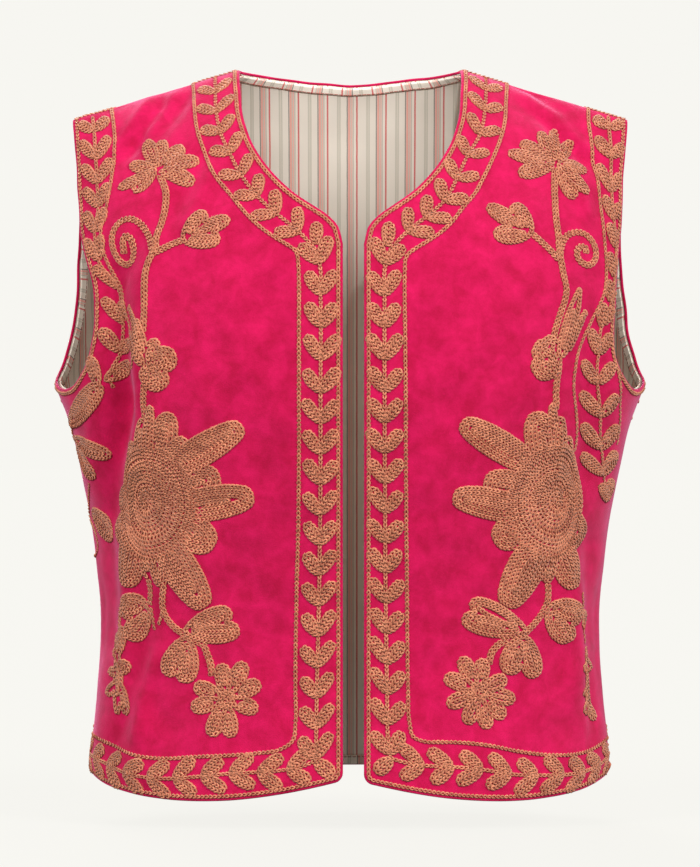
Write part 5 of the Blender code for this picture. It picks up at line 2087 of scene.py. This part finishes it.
class WAISTCOAT_OT_lining(bpy.types.Operator):
    """Makes the striped lining of each panel"""

    bl_idname = "waistcoat.lining"
    bl_label = "Lining"

    def execute(self, context):
        cloth = context.scene.waistcoat_cloth
        material = cotton_material("lining_cotton", cloth.lining_ground, STRIPE_REPEAT)
        depth = cloth.velvet_wall + cloth.layer_gap
        wall, inset = cloth.lining_wall, cloth.lining_inset
        for name, panel_of in PANELS.items():
            shell = add_shell(f"cotton_{name}", panel_of(), depth, wall, inset, LINING_CELL, material)
            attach(shell, "root")
            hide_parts(f"lining_{name}")
        return {"FINISHED"}


FACINGS = (
    # name, the panel it is counted with, and its runs: panel, stretch, and whether both go the same way
    ("neck_facing", "back", ("back", "neck", True)),
    (
        "armhole_facing_right", "front_right",
        ("front_right", "armhole", True), ("back", "right armhole", True),
    ),
    (
        "armhole_facing_left", "front_left",
        ("front_left", "armhole", True), ("back", "armhole", False),
    ),
    (
        "hem_facing", "back",
        ("front_right", "hem", True), ("back", "hem", True), ("front_left", "hem", False),
    ),
)


def state_cut(inset, on_panel):
    """Moves the edge loop of each panel named in on_panel in by the inset at its free edges, and keeps
    nothing of it.
    """
    for name, pieces in on_panel.items():
        panel = PANELS[name]()
        loop = loop_inside(panel, edge_loop(panel), free_share(panel) * inset)


def stitch_sizes(sewing, length, width, thickness, material):
    return {
        "Length": length,
        "Width": width,
        "Yarn Thickness": thickness,
        "Irregularity": sewing.irregularity,
        "Seed": sewing.seed,
        "Yarn": material,
    }


class WAISTCOAT_OT_facings(bpy.types.Operator):
    """Makes the narrow facings inside the edges, with the stitches that hold them"""

    bl_idname = "waistcoat.facings"
    bl_label = "Facings"

    def execute(self, context):
        cloth = context.scene.waistcoat_cloth
        sewing = context.scene.waistcoat_stitching
        material = cotton_material("facing_cotton", cloth.lining_ground, cloth.facing_repeat)
        # The paler thread is the light end of the thread's random tone and of the painted shade of its
        # twist.
        pale = [THREAD_LIGHTENING * tone for tone in sewing.thread]
        thread = yarn_material("facing_thread", sewing.thread, pale)
        tree = stitch_tree("running stitches", running_stitch)
        sizes = stitch_sizes(sewing, TOPSTITCH_LENGTH, TOPSTITCH_THICKNESS, TOPSTITCH_THICKNESS, thread)
        depth = cloth.velvet_wall + cloth.lining_wall + 2 * cloth.layer_gap
        top = depth + cloth.facing_wall + TOPSTITCH_SINK * FACING_CREST
        edge, strip_width = cloth.lining_inset, cloth.facing_width
        on_panel = {name: [] for name in PANELS}
        for name, counted_with, *runs in FACINGS:
            runs = [(PANELS[panel](), stretch, forward) for panel, stretch, forward in runs]
            strip = add_facing(f"{name}_strip", runs, depth, cloth.facing_wall, edge, strip_width, material)
            found = []
            for panel, stretch, _ in runs:
                rail = facing_rail(panel, stretch, edge + strip_width - TOPSTITCH_INSET)
                rail = to_cloth(panel.face, rail)
                found.append(lay_on_form(panel, [rail], TOPSTITCH_LENGTH, top))
            stitches = gathered(found)
            seam = sew(f"{name}_stitches", stitches._replace(out=-stitches.out), tree, sizes)
            for piece in (strip, seam):
                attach(piece, "root")
            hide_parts(name)
            on_panel[counted_with] += [strip, seam]
        state_cut(cloth.lining_inset, on_panel)
        return {"FINISHED"}


class WAISTCOAT_OT_embroidery(bpy.types.Operator):
    """Sews the edging and the flowering vine in chain stitch"""

    bl_idname = "waistcoat.embroidery"
    bl_label = "Embroidery"

    def execute(self, context):
        sewing = context.scene.waistcoat_stitching
        material = yarn_material("embroidery_yarn", sewing.yarn_dark, sewing.yarn_light)
        tree = stitch_tree("chain stitches", chain_link)
        sizes = stitch_sizes(sewing, sewing.pitch, sewing.width, sewing.yarn, material)
        lift = -YARN_RIDE * sewing.yarn
        work = [("back", "border_back", back_border)]
        for side, drawing in (("right", RIGHT_DRAWING), ("left", LEFT_DRAWING)):
            for title, rows_of in (("border", front_border), ("vine", front_vine)):
                rows_of = functools.partial(rows_of, drawing=drawing)
                work.append((f"front_{side}", f"{title}_{side}", rows_of))
        on_panel = {name: [] for name in PANELS}
        for name, title, rows_of in work:
            panel = PANELS[name]()
            lines, fills = rows_of(panel, shortest=SHORTEST_ROW * sewing.pitch)
            stitches = gathered([
                lay_on_form(panel, lines, sewing.pitch, lift),
                lay_on_form(panel, fills, FILL_PITCH, lift, FILL_LINK),
            ])
            piece = sew(title, stitches, tree, sizes)
            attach(piece, "root")
            on_panel[name].append(piece)
        state_cut(0.0, on_panel)
        return {"FINISHED"}


def light_link(name, starts, state):
    """A collection that says which pieces a light falls on, or which it spares."""
    collection = bpy.data.collections.new(name)
    for piece in bpy.data.objects:
        if piece.name.startswith(starts):
            collection.objects.link(piece)
    for linked in collection.collection_objects:
        linked.light_linking.link_state = state
    return collection


def camera_share(tree, bounced, seen):
    """One number for the camera's rays and another for the light that falls on things."""
    ray = node(tree, "ShaderNodeLightPath").outputs["Is Camera Ray"]
    return node(tree, "ShaderNodeMapRange", {"Value": ray, "To Min": bounced, "To Max": seen}).outputs[0]


def floor_material(studio):
    material = bpy.data.materials.new("floor")
    material.use_nodes = True
    tree = material.node_tree
    matt = node(tree, "ShaderNodeBsdfDiffuse", {"Color": studio.floor}).outputs[0]
    links = {"Color": studio.backdrop, "Strength": camera_share(tree, FLOOR_BOUNCE, FLOOR_GLOW)}
    lit = node(tree, "ShaderNodeEmission", links).outputs[0]
    both = node(tree, "ShaderNodeAddShader", {0: matt, 1: lit}).outputs[0]
    feed(tree, tree.nodes["Material Output"], {"Surface": both})
    return material


def add_light(name, kind, strength, spread, turn, receivers):
    """A light object, with its own data, that falls on what a collection says."""
    data = bpy.data.lights.new(name, kind)
    data.energy = strength
    if kind == "SUN":
        data.angle = spread
    else:
        data.spot_size = spread
    light = bpy.data.objects.new(name, data)
    light.rotation_euler = turn
    light.light_linking.receiver_collection = receivers
    bpy.context.scene.collection.objects.link(light)
    return light


class WAISTCOAT_OT_studio(bpy.types.Operator):
    """Sets the floor, the lights and the camera"""

    bl_idname = "waistcoat.studio"
    bl_label = "Studio"

    def execute(self, context):
        scene = context.scene
        studio = scene.waistcoat_studio
        half = FLOOR_SIZE / 2
        low = frame_box[0].z - studio.floor_height
        corners = np.array([(-half, -half, low), (half, -half, low), (half, half, low), (-half, half, low)])
        floor = add_mesh("floor", corners, [(0, 1, 2, 3)], floor_material(studio))
        spared = light_link("shaded inside", ("cotton",), "EXCLUDE")
        for name, strength, turns in (
            ("key light", studio.key, KEY_TURN),
            ("side light", studio.side, SIDE_TURN),
            ("back light", studio.back, BACK_TURN),
        ):
            turn = [math.radians(angle) for angle in turns]
            add_light(name, "SUN", strength, math.radians(KEY_SPREAD), turn, spared)
        aim = (Vector(COLLAR_AIM) - Vector(COLLAR_PLACE)).to_track_quat("-Z", "Y").to_euler()
        lit = light_link("lit inside", ("cotton", "neck_facing"), "INCLUDE")
        spot = add_light("collar light", "SPOT", studio.collar, math.radians(COLLAR_CONE), aim, lit)
        spot.location = COLLAR_PLACE
        spot.data.spot_blend = COLLAR_SOFTNESS
        spot.data.shadow_soft_size = COLLAR_SIZE
        world = bpy.data.worlds.new("studio")
        world.use_nodes = True
        sky = world.node_tree
        links = {"Color": studio.backdrop, "Strength": camera_share(sky, studio.fill, 1.0)}
        feed(sky, sky.nodes["Background"], links)
        scene.world = world
        camera_data = bpy.data.cameras.new("camera")
        camera_data.lens = CAMERA_LENS
        camera_data.sensor_width = CAMERA_SENSOR
        camera = bpy.data.objects.new("camera", camera_data)
        camera.location = CAMERA_PLACE
        camera.rotation_euler = (math.pi / 2, 0, 0)
        scene.collection.objects.link(camera)
        scene.camera = camera
        scene.view_settings.view_transform = "Standard"
        scene.render.resolution_x, scene.render.resolution_y = IMAGE_SIZE
        return {"FINISHED"}


OPERATORS = (
    WAISTCOAT_OT_velvet,
    WAISTCOAT_OT_lining,
    WAISTCOAT_OT_facings,
    WAISTCOAT_OT_embroidery,
    WAISTCOAT_OT_studio,
)
SETTINGS = {
    "waistcoat_cloth": WaistcoatCloth,
    "waistcoat_stitching": WaistcoatStitching,
    "waistcoat_studio": WaistcoatStudio,
}


class WAISTCOAT_PT_panel(bpy.types.Panel):
    """Lists the waistcoat's sizes, colours and pieces"""

    bl_label = "Waistcoat"
    bl_space_type = "VIEW_3D"
    bl_region_type = "UI"
    bl_category = "Waistcoat"

    def draw(self, context):
        for title, kind in SETTINGS.items():
            settings = getattr(context.scene, title)
            for name in kind.__annotations__:
                self.layout.prop(settings, name)
        for operator in OPERATORS:
            self.layout.operator(operator.bl_idname)


def register():
    for kind in (*SETTINGS.values(), *OPERATORS, WAISTCOAT_PT_panel):
        bpy.utils.register_class(kind)
    for title, kind in SETTINGS.items():
        setattr(bpy.types.Scene, title, bpy.props.PointerProperty(type=kind))


def unregister():
    for title in SETTINGS:
        delattr(bpy.types.Scene, title)
    for kind in (WAISTCOAT_PT_panel, *reversed(OPERATORS), *SETTINGS.values()):
        bpy.utils.unregister_class(kind)


def main():
    register()
    bpy.ops.waistcoat.velvet()
    bpy.ops.waistcoat.lining()
    bpy.ops.waistcoat.facings()
    bpy.ops.waistcoat.embroidery()
    bpy.ops.waistcoat.studio()


if __name__ == "__main__":
    main()
